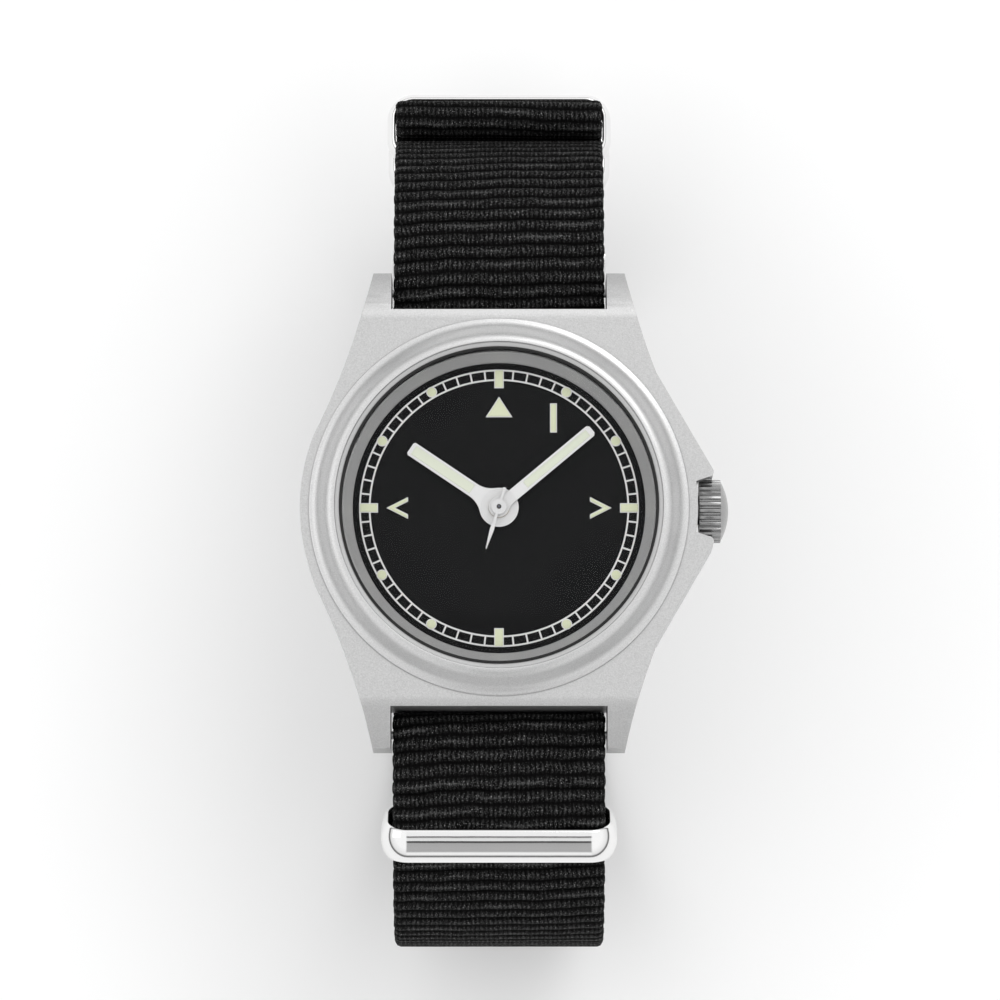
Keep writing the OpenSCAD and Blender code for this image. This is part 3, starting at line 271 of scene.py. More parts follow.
@dataclass(frozen=True)
class PolishedSteel:
    """Polished steel with the faint scratches of handling."""

    name: str = "polished_steel"
    tone: float = 0.84
    roughness: float = 0.06

    def make(self) -> bpy.types.Material:
        """Builds the material."""
        sheet = Sheet(self.name)
        place = sheet.place()
        scratch = sheet.grain(sheet.stretched(place, (1.0, 9.0, 9.0)), 1.6, 3.0).between(0.55, 0.8)
        cloud = sheet.grain(place, 3.0)
        rough = self.roughness + 0.05 * scratch + 0.03 * cloud
        height = sheet.grain(place, 2.2, 1.0)
        tone = sheet.shade(cloud, grey(self.tone * 0.96), grey(self.tone, 0.004))
        return sheet.finish(Base_Color=tone, Metallic=1.0, Roughness=rough,
                            Normal=sheet.bumped(height, 0.006))


@dataclass(frozen=True)
class TurnedSteel:
    """Steel with the fine rings of the lathe about the hands' axis."""

    name: str = "turned_steel"
    tone: float = 0.3
    roughness: float = 0.36
    pitch_mm: float = 0.05
    metal: float = 1.0

    def make(self) -> bpy.types.Material:
        """Builds the material."""
        sheet = Sheet(self.name)
        place = sheet.place()
        x, y, _ = sheet.parts(place)
        radius = (x * x + y * y).maths("SQRT")
        rings = (radius * (TURN / (self.pitch_mm * MM))).wave()
        grain = sheet.grain(place, 0.09, 2.0)
        mixed = rings * 0.5 + grain * 0.5
        tone = sheet.shade(mixed, grey(self.tone * 0.8), grey(self.tone * 1.2))
        return sheet.finish(Base_Color=tone, Metallic=self.metal, Roughness=self.roughness + 0.12 * mixed,
                            Normal=sheet.bumped(mixed, 0.006))


@dataclass(frozen=True)
class BrushedMetal:
    """A metal inside the movement, brushed along one way."""

    name: str
    colour: tuple[float, float, float]
    roughness: float = 0.3
    way: tuple[float, float, float] = (1.0, 14.0, 14.0)

    def make(self) -> bpy.types.Material:
        """Builds the material."""
        sheet = Sheet(self.name)
        place = sheet.place()
        brushed = sheet.grain(sheet.stretched(place, self.way), 0.9, 4.0)
        spots = sheet.grain(place, 1.5)
        dark = tuple(c * 0.8 for c in self.colour)
        light = tuple(min(1.0, c * 1.1) for c in self.colour)
        tone = sheet.shade(brushed.between(0.25, 0.75), dark, light)
        rough = self.roughness + 0.15 * (brushed - 0.5) + 0.08 * (spots - 0.5)
        return sheet.finish(Base_Color=tone, Metallic=1.0, Roughness=rough,
                            Normal=sheet.bumped(brushed, 0.004))


@dataclass(frozen=True)
class CrownSteel:
    """The crown's steel: polished and lightly brushed."""

    name: str = "crown_steel"
    tone: float = 0.32
    roughness: float = 0.19
    axis: float = 3.9
    pitch_mm: float = 0.06

    def make(self) -> bpy.types.Material:
        """Builds the material."""
        sheet = Sheet(self.name)
        place = sheet.place()
        _, y, z = sheet.parts(place)
        up = z - (HEAD + self.axis) * MM
        radius = (y * y + up * up).maths("SQRT")
        rings = (radius * (TURN / (self.pitch_mm * MM))).wave()
        grain = sheet.grain(place, 0.12)
        mixed = rings * 0.4 + grain * 0.6
        tone = sheet.shade(mixed, grey(self.tone * 0.82), grey(self.tone * 1.15))
        return sheet.finish(Base_Color=tone, Metallic=1.0, Roughness=self.roughness + 0.1 * mixed,
                            Normal=sheet.bumped(mixed, 0.005))


@dataclass(frozen=True)
class Crystal:
    """Clear watch glass."""

    name: str = "crystal"

    def make(self) -> bpy.types.Material:
        """Builds the material."""
        sheet = Sheet(self.name)
        smear = sheet.grain(sheet.place(), 5.0)
        return sheet.finish(Base_Color=(0.02, 0.022, 0.023, 1.0), Roughness=0.02 + 0.02 * smear, IOR=1.5,
                            Specular_IOR_Level=0.5, Alpha=0.06)


@dataclass(frozen=True)
class Paint:
    """A fine matte or satin paint."""

    name: str
    colour: tuple[float, float, float]
    roughness: float = 0.5
    grain_mm: float = 0.06
    depth_mm: float = 0.004
    spread: float = 0.12
    shine: float = 0.5

    def make(self) -> bpy.types.Material:
        """Builds the material."""
        sheet = Sheet(self.name)
        place = sheet.place()
        grain = sheet.grain(place, self.grain_mm, 3.0)
        cloud = sheet.grain(place, 4.0)
        dark = tuple(c * (1 - self.spread) for c in self.colour)
        light = tuple(min(1.0, c * (1 + self.spread)) for c in self.colour)
        tone = sheet.shade(grain * 0.7 + cloud * 0.3, dark, light)
        return sheet.finish(Base_Color=tone, Roughness=self.roughness + 0.1 * (grain - 0.5),
                            Specular_IOR_Level=self.shine, Normal=sheet.bumped(grain, self.depth_mm))


@dataclass(frozen=True)
class HandPaint:
    """White paint with fine turned lines on the hubs."""

    name: str = "hand_paint"
    hub_r: float = 1.8
    pitch_mm: float = 0.16

    def make(self) -> bpy.types.Material:
        """Builds the material."""
        sheet = Sheet(self.name)
        place = sheet.place()
        x, y, _ = sheet.parts(place)
        radius = (x * x + y * y).maths("SQRT")
        hub = 1 - radius.between((self.hub_r - 0.1) * MM, self.hub_r * MM)
        rings = (radius * (TURN / (self.pitch_mm * MM))).wave() * hub
        grain = sheet.grain(place, 0.05, 3.0)
        tone = sheet.shade(rings * 0.75 + grain * 0.25, grey(0.86), grey(0.68))
        return sheet.finish(Base_Color=tone, Roughness=0.42 + 0.1 * grain,
                            Normal=sheet.bumped(grain * 0.4 + rings * 0.6, 0.004))


@dataclass(frozen=True)
class Webbing:
    """Black nylon webbing: yarns over every rib, painted shade in the grooves, painted highlights on the
    crests and painted glints on a few bright filaments.
    """

    name: str = "webbing"
    # The black of the grooves, where painted shade lies, the painted highlight on the rib crests and the
    # painted glint on bright filaments.
    tone: float = 0.002
    crest_highlight_tone: float = 0.085
    glint_tone: float = 0.4
    gloss: float = 0.035
    yarn_mm: float = 0.43
    rib_mm: float = 1.33

    def make(self) -> bpy.types.Material:
        """Builds the material."""
        sheet = Sheet(self.name)
        place = sheet.cloth_place()
        across, along, _ = sheet.parts(place)
        drift = sheet.grain(sheet.stretched(place, (0.3, 1.0, 1.0)), 1.3, 2.0, 1.0)
        loose = sheet.grain(place, 0.42, 2.0, 1.0)
        astray = sheet.grain(sheet.stretched(place, (1.3, 0.8, 1.0)), 0.3, 2.0, 1.0)
        yarn = (across * (TURN / self.yarn_mm) + drift * 7.0 + loose * 5.0).wave() ** 1.2
        crest = ((along + (astray - 0.5) * 0.5) * (TURN / self.rib_mm)).maths("COSINE") * -0.5 + 0.5
        vary = sheet.grain(sheet.stretched(place, (2.0, 1.3, 1.0)), 0.75, 2.0, 1.0).between(0.38, 0.64)
        fibre = sheet.grain(sheet.stretched(place, (5.0, 2.2, 1.0)), 0.7, 3.0, 1.0).between(0.3, 0.7)
        # A few shiny filaments: lower roughness, and painted glints in the colour below.
        glint_fibre = sheet.grain(sheet.stretched(place, (1.0, 0.6, 1.0)), 0.09, 1.0, 1.0).between(0.62, 0.72)
        patch = sheet.grain(sheet.stretched(place, (0.35, 1.0, 1.0)), 1.9, 1.0, 1.0).between(0.52, 0.64)
        # Painted light: the yarns on the rib crests are painted bright, and the grooves between ribs are
        # painted dark as shade.
        lit = yarn * crest ** 0.8 * (vary * 0.85 + 0.15) * (fibre * 0.7 + 0.3)
        # Painted highlight: thin bright lines along the rib crests, in patches.
        edge = crest ** 14.0 * patch * (fibre * 0.7 + 0.3) * 0.7
        shown = (lit + edge).maths("ADD", 0.0, clamp=True)
        shaded_weave = sheet.shade(shown, grey(self.tone), grey(self.crest_highlight_tone))
        # Painted glints: the shiny filaments on the crests are painted near white.
        tone = sheet.shade(glint_fibre * crest * (yarn * 0.6 + 0.4), shaded_weave, grey(self.glint_tone))
        height = yarn * crest * 0.6 + fibre * 0.4
        rough = 0.62 - 0.2 * glint_fibre - 0.1 * (fibre - 0.5)
        return sheet.finish(Base_Color=tone, Roughness=rough, Specular_IOR_Level=self.gloss,
                            Normal=sheet.bumped(height, 0.16))


@dataclass(frozen=True)
class Floor:
    """The pale surface that the watch stands on."""

    name: str = "pale_floor"

    def make(self) -> bpy.types.Material:
        """Builds the material."""
        sheet = Sheet(self.name)
        cloud = sheet.grain(sheet.place(), 90.0)
        return sheet.finish(Base_Color=sheet.shade(cloud, grey(0.95), grey(0.97)), Roughness=0.85,
                            Specular_IOR_Level=0.1)


class Paintbox:
    """Every finish, built once."""

    def __init__(self) -> None:
        """Builds the finishes."""
        finishes = [
            BlastedSteel(), BlastedSteel("blasted_bezel", 0.6, 0.34, 0.1, 0.012), PolishedSteel(),
            TurnedSteel(), TurnedSteel("dial_slope_steel", 0.5, 0.4, 0.05, 0.25),
            BrushedMetal("movement_steel", (0.6, 0.6, 0.61)), BrushedMetal("brass", (0.72, 0.55, 0.26)),
            BrushedMetal("magnet", (0.2, 0.2, 0.22), 0.5),
            BrushedMetal("copper_wire", (0.6, 0.25, 0.12), 0.35, (60.0, 1.0, 1.0)),
            CrownSteel(), Crystal(), Paint("rubber", (0.005, 0.005, 0.005), 0.7),
            Paint("dial_paint", (0.0035, 0.0035, 0.0038), 0.7, 0.05, 0.004, 0.3, 0.1),
            Paint("lume", (0.78, 0.82, 0.58), 0.75, 0.07, 0.012, 0.06),
            Paint("hand_lume", (0.78, 0.82, 0.68), 0.7, 0.07, 0.01, 0.06), HandPaint(),
            Paint("print_white", (0.8, 0.8, 0.79), 0.6), Paint("holder_plastic", (0.8, 0.8, 0.77), 0.45),
            Paint("board_green", (0.03, 0.16, 0.07), 0.35, 0.4),
            Paint("chip_black", (0.015, 0.015, 0.016), 0.5), Webbing(),
            Paint("thread", (0.02, 0.02, 0.022), 0.55, 0.12, 0.03, 0.4), Floor(),
        ]
        self.colours = {finish.name: finish.make() for finish in finishes}

    def coat(self, piece: bpy.types.Object, name: str) -> None:
        """Gives a whole piece one finish."""
        piece.data.materials.clear()
        piece.data.materials.append(self.colours[name])


# The bench: modelling by operator


def alone(piece: bpy.types.Object) -> None:
    """Selects one piece and makes it active."""
    bpy.ops.object.select_all(action="DESELECT")
    piece.select_set(True)
    bpy.context.view_layer.objects.active = piece


def editing(piece: bpy.types.Object, work: Callable[[], Any]) -> None:
    """Runs operators on all of a piece in edit mode."""
    alone(piece)
    bpy.ops.object.mode_set(mode="EDIT")
    bpy.ops.mesh.select_all(action="SELECT")
    work()
    bpy.ops.object.mode_set(mode="OBJECT")


def named(piece: bpy.types.Object, name: str) -> bpy.types.Object:
    """Names a piece and its mesh."""
    piece.name = name
    piece.data.name = name
    return piece


def outward(merge: float = 0.0) -> None:
    """In edit mode, merges corners nearer than this, in metres, and turns all faces outward."""
    bpy.ops.mesh.select_all(action="SELECT")
    if merge:
        bpy.ops.mesh.remove_doubles(threshold=merge)
    bpy.ops.mesh.normals_make_consistent(inside=False)


def traced(name: str, points: Sequence[Vector], closed: bool) -> bpy.types.Object:
    """Draws a line from point to point, as by hand: one corner, extruded again and again.

    Args:
        name: the piece's name.
        points: the corners, in metres.
        closed: joins the last corner to the first.

    Returns:
        A piece of edges only.
    """
    bpy.ops.object.select_all(action="DESELECT")
    bpy.ops.mesh.primitive_plane_add(size=MM)
    piece = named(bpy.context.object, name)

    def work() -> None:
        """Merges the start to one corner and extrudes it."""
        bpy.ops.mesh.merge(type="CENTER")
        bpy.ops.transform.translate(value=points[0])
        ends = [*points[1:], points[0]] if closed else list(points[1:])
        for before, after in zip(points, ends):
            bpy.ops.mesh.extrude_region_move(TRANSFORM_OT_translate={"value": after - before})
        bpy.ops.mesh.select_all(action="SELECT")
        bpy.ops.mesh.remove_doubles(threshold=1e-7)

    editing(piece, work)
    return piece


def turned(name: str, profile: Outline, closed: bool, steps: int = 180) -> bpy.types.Object:
    """Turns a profile about the hands' axis.

    Args:
        name: the piece's name.
        profile: radius and height above the case back, in millimetres.
        closed: the profile is a ring's section, else it starts and ends on the axis.
        steps: divisions of the turn.

    Returns:
        The turned piece.
    """
    points = [Vector((r, 0.0, HEAD + z)) * MM for r, z in profile]
    piece = traced(name, points, closed)

    def work() -> None:
        """Spins the profile and closes the seam."""
        bpy.ops.mesh.spin(steps=steps, angle=TURN, center=(0, 0, 0), axis=Axis.Z.value)
        outward(2e-7)

    editing(piece, work)
    return piece


def plate(name: str, outline: Outline, low: float, thick: float) -> bpy.types.Object:
    """Extrudes a flat outline.

    Args:
        name: the piece's name.
        outline: corners in millimetres, in order.
        low: height of its lower face, in millimetres.
        thick: its thickness, in millimetres.

    Returns:
        The plate.
    """
    piece = traced(name, [Vector((x, y, low)) * MM for x, y in outline], True)

    def work() -> None:
        """Fills the outline and pulls it up."""
        bpy.ops.mesh.edge_face_add()
        bpy.ops.mesh.extrude_region_move(TRANSFORM_OT_translate={"value": (0, 0, thick * MM)})
        outward()

    editing(piece, work)
    return piece


def modified(piece: bpy.types.Object, kind: str, **settings: Any) -> None:
    """Adds one modifier and applies it."""
    alone(piece)
    modifier = piece.modifiers.new(kind.title(), kind)
    for key, value in settings.items():
        setattr(modifier, key, value)
    bpy.ops.object.modifier_apply(modifier=modifier.name)


def eased(piece: bpy.types.Object, width: float, angle: float = 30.0, segments: int = 3) -> None:
    """Rounds a piece's sharp edges and shades it smoothly.

    Args:
        piece: the piece.
        width: the rounding's width, in millimetres.
        angle: edges sharper than this are rounded, in degrees.
        segments: faces across a rounding.
    """
    modified(piece, "BEVEL", width=width * MM, segments=segments, limit_method="ANGLE",
             angle_limit=math.radians(angle), use_clamp_overlap=True)
    smooth(piece)
    modified(piece, "WEIGHTED_NORMAL", weight=50, keep_sharp=True)


def smooth(piece: bpy.types.Object, angle: float = 32.0) -> None:
    """Shades a piece smoothly but for its sharp edges."""
    alone(piece)
    bpy.ops.object.shade_smooth_by_angle(angle=math.radians(angle))


def joined(name: str, pieces: Sequence[bpy.types.Object]) -> bpy.types.Object:
    """Joins pieces into one.

    Args:
        name: the new piece's name.
        pieces: what is joined.

    Returns:
        The joined piece.
    """
    alone(pieces[0])
    for piece in pieces:
        piece.select_set(True)
    bpy.ops.object.join()
    return named(pieces[0], name)


def copied(piece: bpy.types.Object, name: str) -> bpy.types.Object:
    """A copy of a piece with its own mesh."""
    alone(piece)
    bpy.ops.object.duplicate(linked=False)
    return named(bpy.context.object, name)


def moved(piece: bpy.types.Object, change: Matrix) -> bpy.types.Object:
    """Moves a piece's mesh and leaves its object at the origin."""
    piece.data.transform(change)
    piece.data.update()
    return piece


def clockwise(angle: float) -> Matrix:
    """A turn about the hands' axis, clockwise from 12 o'clock, in degrees."""
    return Matrix.Rotation(math.radians(-angle), 4, "Z")


def cut(piece: bpy.types.Object, tool: bpy.types.Object, operation: str = "DIFFERENCE") -> None:
    """Cuts a piece with another, or joins it, and removes the tool."""
    modified(piece, "BOOLEAN", object=tool, operation=operation, solver="EXACT")
    bpy.data.objects.remove(tool)


def arc_points(centre: Flat, radius: float, start: float, end: float, steps: int) -> Outline:
    """Points on an arc.

    Args:
        centre: its centre.
        radius: its radius.
        start: first angle, in degrees.
        end: last angle, in degrees.
        steps: how many stretches.

    Returns:
        The points.
    """
    angles = [math.radians(start + (end - start) * i / steps) for i in range(steps + 1)]
    return [(centre[0] + radius * math.cos(a), centre[1] + radius * math.sin(a)) for a in angles]


@dataclass
class Dresser:
    """What every sub-assembly needs: the finishes and the way to hand over a piece."""

    paints: Paintbox

    def hand_over(self, piece: bpy.types.Object, body: str, finish: str, slot: str, *nodes: str) -> None:
        """Ends a piece: finish, body and the CAD nodes that it stands for.

        Args:
            piece: the piece.
            body: the body that it rides on.
            finish: its finish, or nothing where it has its own.
            slot: the record's material slot; not used.
            nodes: CAD nodes that it replaces.
        """
        if finish:
            self.paints.coat(piece, finish)
        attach(piece, body)
        if nodes:
            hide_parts(*nodes)
        log.info("%s: %d faces on %s", piece.name, len(piece.data.polygons), body)

    def softened(self, node: str, name: str, width: float, angle: float = 25.0, segments: int = 3,
                 shape: Callable[[bpy.types.Object], None] | None = None) -> bpy.types.Object:
        """A copy of a CAD node with rounded edges.

        Args:
            node: the CAD node.
            name: the copy's name.
            width: the rounding, in millimetres.
            angle: edges sharper than this are rounded.
            segments: faces across a rounding.
            shape: what is done to the copy before its edges are rounded.

        Returns:
            The copy.
        """
        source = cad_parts[node]
        piece = copied(source, name)
        piece.parent = None
        for key in list(piece.keys()):
            del piece[key]

        def work() -> None:
            """Merges the loose triangles and clears flat faces of their inner edges."""
            bpy.ops.mesh.remove_doubles(threshold=1e-7)
            bpy.ops.mesh.dissolve_limited(angle_limit=math.radians(0.6))
            bpy.ops.mesh.normals_make_consistent(inside=False)

        editing(piece, work)
        if shape:
            shape(piece)
        eased(piece, width, angle, segments)
        return piece


# The watch head


@dataclass
class Case(Dresser):
    """The steel case: middle, bezel, screwed back, crystal and the sloping ring round the dial."""

    edge: float = 0.13
    back_edge: float = 0.1
    fall_from: Flat = (17.6, 7.6)
    lug_tip: Flat = (22.2, 5.3)
    fall_angle: float = 12.0
    blend: float = 2.6
    blend_cuts: int = 12
    seat_r: float = 14.75
    bezel_r: float = 17.6
    bezel_foot: float = 7.6
    bezel_edge: float = 7.85
    lip_r: float = 15.2
    lip: float = 9.3
    step: float = 9.05
    glass_r: float = 14.5
    glass_low: float = 8.0
    glass_top: float = 9.5
    gasket_top: float = 9.15
    dial_level: float = 6.5
    ring_inner_r: float = 13.55
    ring_outer_r: float = 14.65

    def build(self) -> None:
        """Builds and dresses every piece of the case."""
        middle = self.softened("mid_case", "case_middle", self.edge, shape=self.flowing_lugs)
        self.hand_over(middle, "case", "blasted_steel", "blasted_steel", "mid_case")
        self.hand_over(self.softened("case_back", "case_back_cover", self.back_edge), "case", "blasted_steel",
                       "blasted_steel", "case_back")
        bezel = self.bezel()
        self.hand_over(bezel, "case", "blasted_bezel", "blasted_steel", "bezel")
        self.turned_step(bezel)
        self.hand_over(self.glass(), "case", "crystal", "crystal", "crystal")
        self.hand_over(self.gasket(), "case", "rubber", "rubber", "crystal_gasket")
        self.hand_over(self.sloping_ring(), "case", "dial_slope_steel", "satin_steel", "dial_ring")

    def flowing_lugs(self, piece: bpy.types.Object) -> None:
        """Blends the start of each lug's fall into the flat top, as the blasting leaves it.

        Args:
            piece: the copy of the middle case.
        """
        step = Vector((self.lug_tip[0] - self.fall_from[0], self.lug_tip[1] - self.fall_from[1]))
        way = Vector((math.sin(math.radians(self.fall_angle)), math.cos(math.radians(self.fall_angle))))
        radius = -step.dot(step) / (2 * step.dot(way))
        centre = Vector(self.fall_from) - radius * way

        def work() -> None:
            """Cuts the tops of the lugs across."""
            for side in (-1, 1):
                for i in range(1, self.blend_cuts + 1):
                    across = side * (self.fall_from[0] + self.blend * i / self.blend_cuts) * MM
                    bpy.ops.mesh.select_all(action="SELECT")
                    bpy.ops.mesh.bisect(plane_co=(0, across, 0), plane_no=Axis.Y.value)

        editing(piece, work)
        for vertex in piece.data.vertices:
            far = abs(vertex.co.y) / MM
            u = (far - self.fall_from[0]) / self.blend
            if 1e-4 < u < 1.0001:
                top = centre[1] + math.sqrt(radius ** 2 - (far - centre[0]) ** 2)
                if vertex.co.z / MM - HEAD > top - 0.06:
                    lift = math.tan(math.radians(self.fall_angle)) * self.blend * u * (1 - min(u, 1.0)) ** 2
                    vertex.co.z = (HEAD + top + lift) * MM
        piece.data.update()

    def rise(self, u: float) -> float:
        """The bezel's height from its outer edge, 0, to its lip, 1."""
        return 0.08 * u + 0.92 * u ** 3 * (10 - 15 * u + 6 * u * u)

    def bezel(self) -> bpy.types.Object:
        """Turns the bezel: a low shelf, a hollow rise and a sharp lip.

        Returns:
            The bezel.
        """
        foot, outer, edge = self.bezel_foot, self.bezel_r, self.bezel_edge
        inner, lip_r, lip, step = self.seat_r, self.lip_r, self.lip, self.step
        profile = [(inner, foot), (outer - 0.14, foot), (outer - 0.14, foot + 0.06),
                   (outer - 0.03, foot + 0.08), (outer, foot + 0.1)]
        profile += [(outer - 0.12 + 0.12 * math.cos(turn), edge - 0.13 + 0.13 * math.sin(turn))
                    for turn in (math.radians(18 * i) for i in range(5))]
        for i in range(1, 45):
            u = 0.05 + 0.935 * i / 44
            profile.append((outer + (lip_r - outer) * u, edge + (lip - edge) * self.rise(u)))
        profile += [(lip_r + 0.008, lip - 0.012), (lip_r - 0.02, lip - 0.04), (lip_r - 0.045, step + 0.05),
                    (lip_r - 0.075, step + 0.01), (lip_r - 0.12, step), (inner + 0.04, step - 0.04),
                    (inner + 0.01, step - 0.055), (inner, step - 0.1)]
        piece = turned("bezel_ring", profile, True, 240)
        smooth(piece, 40)
        return piece

    def turned_step(self, piece: bpy.types.Object) -> None:
        """Leaves the step inside the bezel's lip as it was turned, without blasting."""
        piece.data.materials.append(self.paints.colours["dial_slope_steel"])
        for face in piece.data.polygons:
            if math.hypot(face.center.x, face.center.y) < (self.lip_r - 0.06) * MM and face.normal.z > 0.4:
                face.material_index = 1

    def glass(self) -> bpy.types.Object:
        """Turns the crystal with its polished bevel."""
        outer, low, top = self.glass_r, self.glass_low, self.glass_top
        profile = [(0, low), (outer, low), (outer, top - 0.22), (outer - 0.015, top - 0.19),
                   (outer - 0.17, top - 0.025), (outer - 0.22, top), (7, top), (0, top)]
        piece = turned("glass", profile, False)
        smooth(piece)
        return piece

    def gasket(self) -> bpy.types.Object:
        """Turns the thin black gasket round the crystal."""
        inner, outer, low, top = self.glass_r, self.seat_r, self.glass_low, self.gasket_top
        profile = [(inner, low), (outer, low), (outer, top - 0.06), (outer - 0.05, top - 0.01),
                   (outer - 0.12, top), (inner + 0.06, top - 0.01), (inner, top - 0.06)]
        piece = turned("glass_gasket", profile, True)
        smooth(piece, 50)
        return piece

    def sloping_ring(self) -> bpy.types.Object:
        """Turns the sloping ring between dial and crystal.

        Returns:
            The ring.
        """
        low, top, inner, outer = self.dial_level, self.glass_low, self.ring_inner_r, self.ring_outer_r
        profile = [(inner, low), (outer, low), (outer, top), (outer - 0.25, top), (outer - 0.31, top - 0.06)]
        start, end = profile[-1], (inner + 0.03, low + 0.3)
        profile += [(start[0] + (end[0] - start[0]) * i / 8, start[1] + (end[1] - start[1]) * i / 8)
                    for i in range(1, 9)]
        profile += [(inner + 0.005, low + 0.25), (inner, low + 0.2)]
        piece = turned("dial_slope", profile, True, 240)
        smooth(piece, 40)
        return piece


@dataclass
class Crown(Dresser):
    """The fluted crown with its domed end."""

    edge: float = 0.07

    def build(self) -> None:
        """Rounds the flutes and hands the crown over."""
        self.hand_over(self.softened("crown", "crown_cap", self.edge, 20.0, 2), "crown", "crown_steel",
                       "blasted_steel", "crown")


@dataclass
class Dial(Dresser):
    """The black dial with its track, printed lines and thick luminous marks."""

    face: float = 6.5
    under: float = 6.1
    radius: float = 14.0
    hole_r: float = 1.05
    track_outer: float = 12.95
    track_inner: float = 12.05
    line: float = 0.16
    ink: float = 0.025
    paint: float = 0.1
    rim: float = 0.085

    def build(self) -> None:
        """Builds the dial, the printed track and the marks."""
        hole, top = self.hole_r, self.face
        profile = [(hole, self.under), (self.radius, self.under), (self.radius, top), (hole + 0.04, top),
                   (hole, top - 0.04)]
        face = turned("dial_plate", profile, True)
        smooth(face)
        self.hand_over(face, "case", "dial_paint", "dial_black", "dial")
        self.hand_over(self.track(), "case", "print_white", "lume", "dial_markings")
        self.hand_over(self.borders(), "case", "print_white", "lume", "dial_markings")
        self.hand_over(self.marks(), "case", "lume", "lume", "dial_markings")

    def track(self) -> bpy.types.Object:
        """Builds the two rings of the minute track and its sixty lines.

        Returns:
            The printed track.
        """
        low, top = self.face - 0.01, self.face + self.ink
        rings = [turned("track_ring", [(r - self.line, low), (r, low), (r, top), (r - self.line, top)], True)
                 for r in (self.track_outer, self.track_inner)]
        half, start = self.line / 2, self.track_inner - self.line / 2
        first = plate("track_line", [(-half, start), (half, start), (half, self.track_outer - half),
                                     (-half, self.track_outer - half)], HEAD + low, top - low - 0.002)
        lines = [moved(copied(first, "track_line"), clockwise(6 * i)) for i in range(1, 60)]
        return joined("minute_track", [*rings, first, *lines])

    def shapes(self, grow: float) -> list[Outline]:
        """Outlines of every mark.

        Args:
            grow: how far each outline lies outside the luminous paint, in millimetres.

        Returns:
            The outlines, those of the hours turned in place.
        """
        g = grow
        quarter = [(-0.44 - g, 11.2 - g), (0.44 + g, 11.2 - g), (0.44 + g, 12.95 + g),
                   (-0.44 - g, 12.95 + g)]
        outlines = [self.about(quarter, 90 * i) for i in range(4)]
        slope = g * 1.6
        outlines.append([(-1.24 - slope, 8.48 - g), (1.24 + slope, 8.48 - g), (0.0, 10.4 + slope)])
        outlines.append([(4.73 - g, 7.05 - g), (5.37 + g, 7.05 - g), (5.37 + g, 9.78 + g),
                         (4.73 - g, 9.78 + g)])
        for side in (-1, 1):
            arrow = [(10.42 + g * 1.5, 0.0), (8.42 - g, 1.02 + g), (8.42 - g, 0.6 - g * 0.6),
                     (9.6 - g * 1.5, 0.0), (8.42 - g, -0.6 + g * 0.6), (8.42 - g, -1.02 - g)]
            outlines.append([(side * x, side * y) for x, y in arrow])
        dot = arc_points((0.0, 12.5), 0.5 + g, 0, 360, 28)[:-1]
        outlines += [self.about(dot, 30 * hour) for hour in range(1, 12) if hour % 3]
        return outlines

    def about(self, outline: Outline, angle: float) -> Outline:
        """An outline turned clockwise about the hands' axis, in degrees."""
        turn = math.radians(-angle)
        return [(x * math.cos(turn) - y * math.sin(turn), x * math.sin(turn) + y * math.cos(turn))
                for x, y in outline]

    def borders(self) -> bpy.types.Object:
        """Builds the thin white borders on which the luminous paint lies."""
        plates = [plate("mark_border", outline, HEAD + self.face - 0.01, self.ink + 0.02)
                  for outline in self.shapes(0.0)]
        return joined("mark_borders", plates)

    def marks(self) -> bpy.types.Object:
        """Builds the luminous marks, thick and rounded as laid on by hand."""
        plates = [plate("mark", outline, HEAD + self.face, self.paint) for outline in self.shapes(-self.rim)]
        piece = joined("dial_marks", plates)
        eased(piece, 0.07, 40, 3)
        return piece


@dataclass(frozen=True)
class Blade:
    """A hand with a luminous window: its level, its direction clockwise from 12 o'clock and its outline."""

    low: float
    angle: float
    hub: float
    hole: float
    width: float
    length: float
    chamfer: float
    fillet: float
    window: tuple[float, float, float]


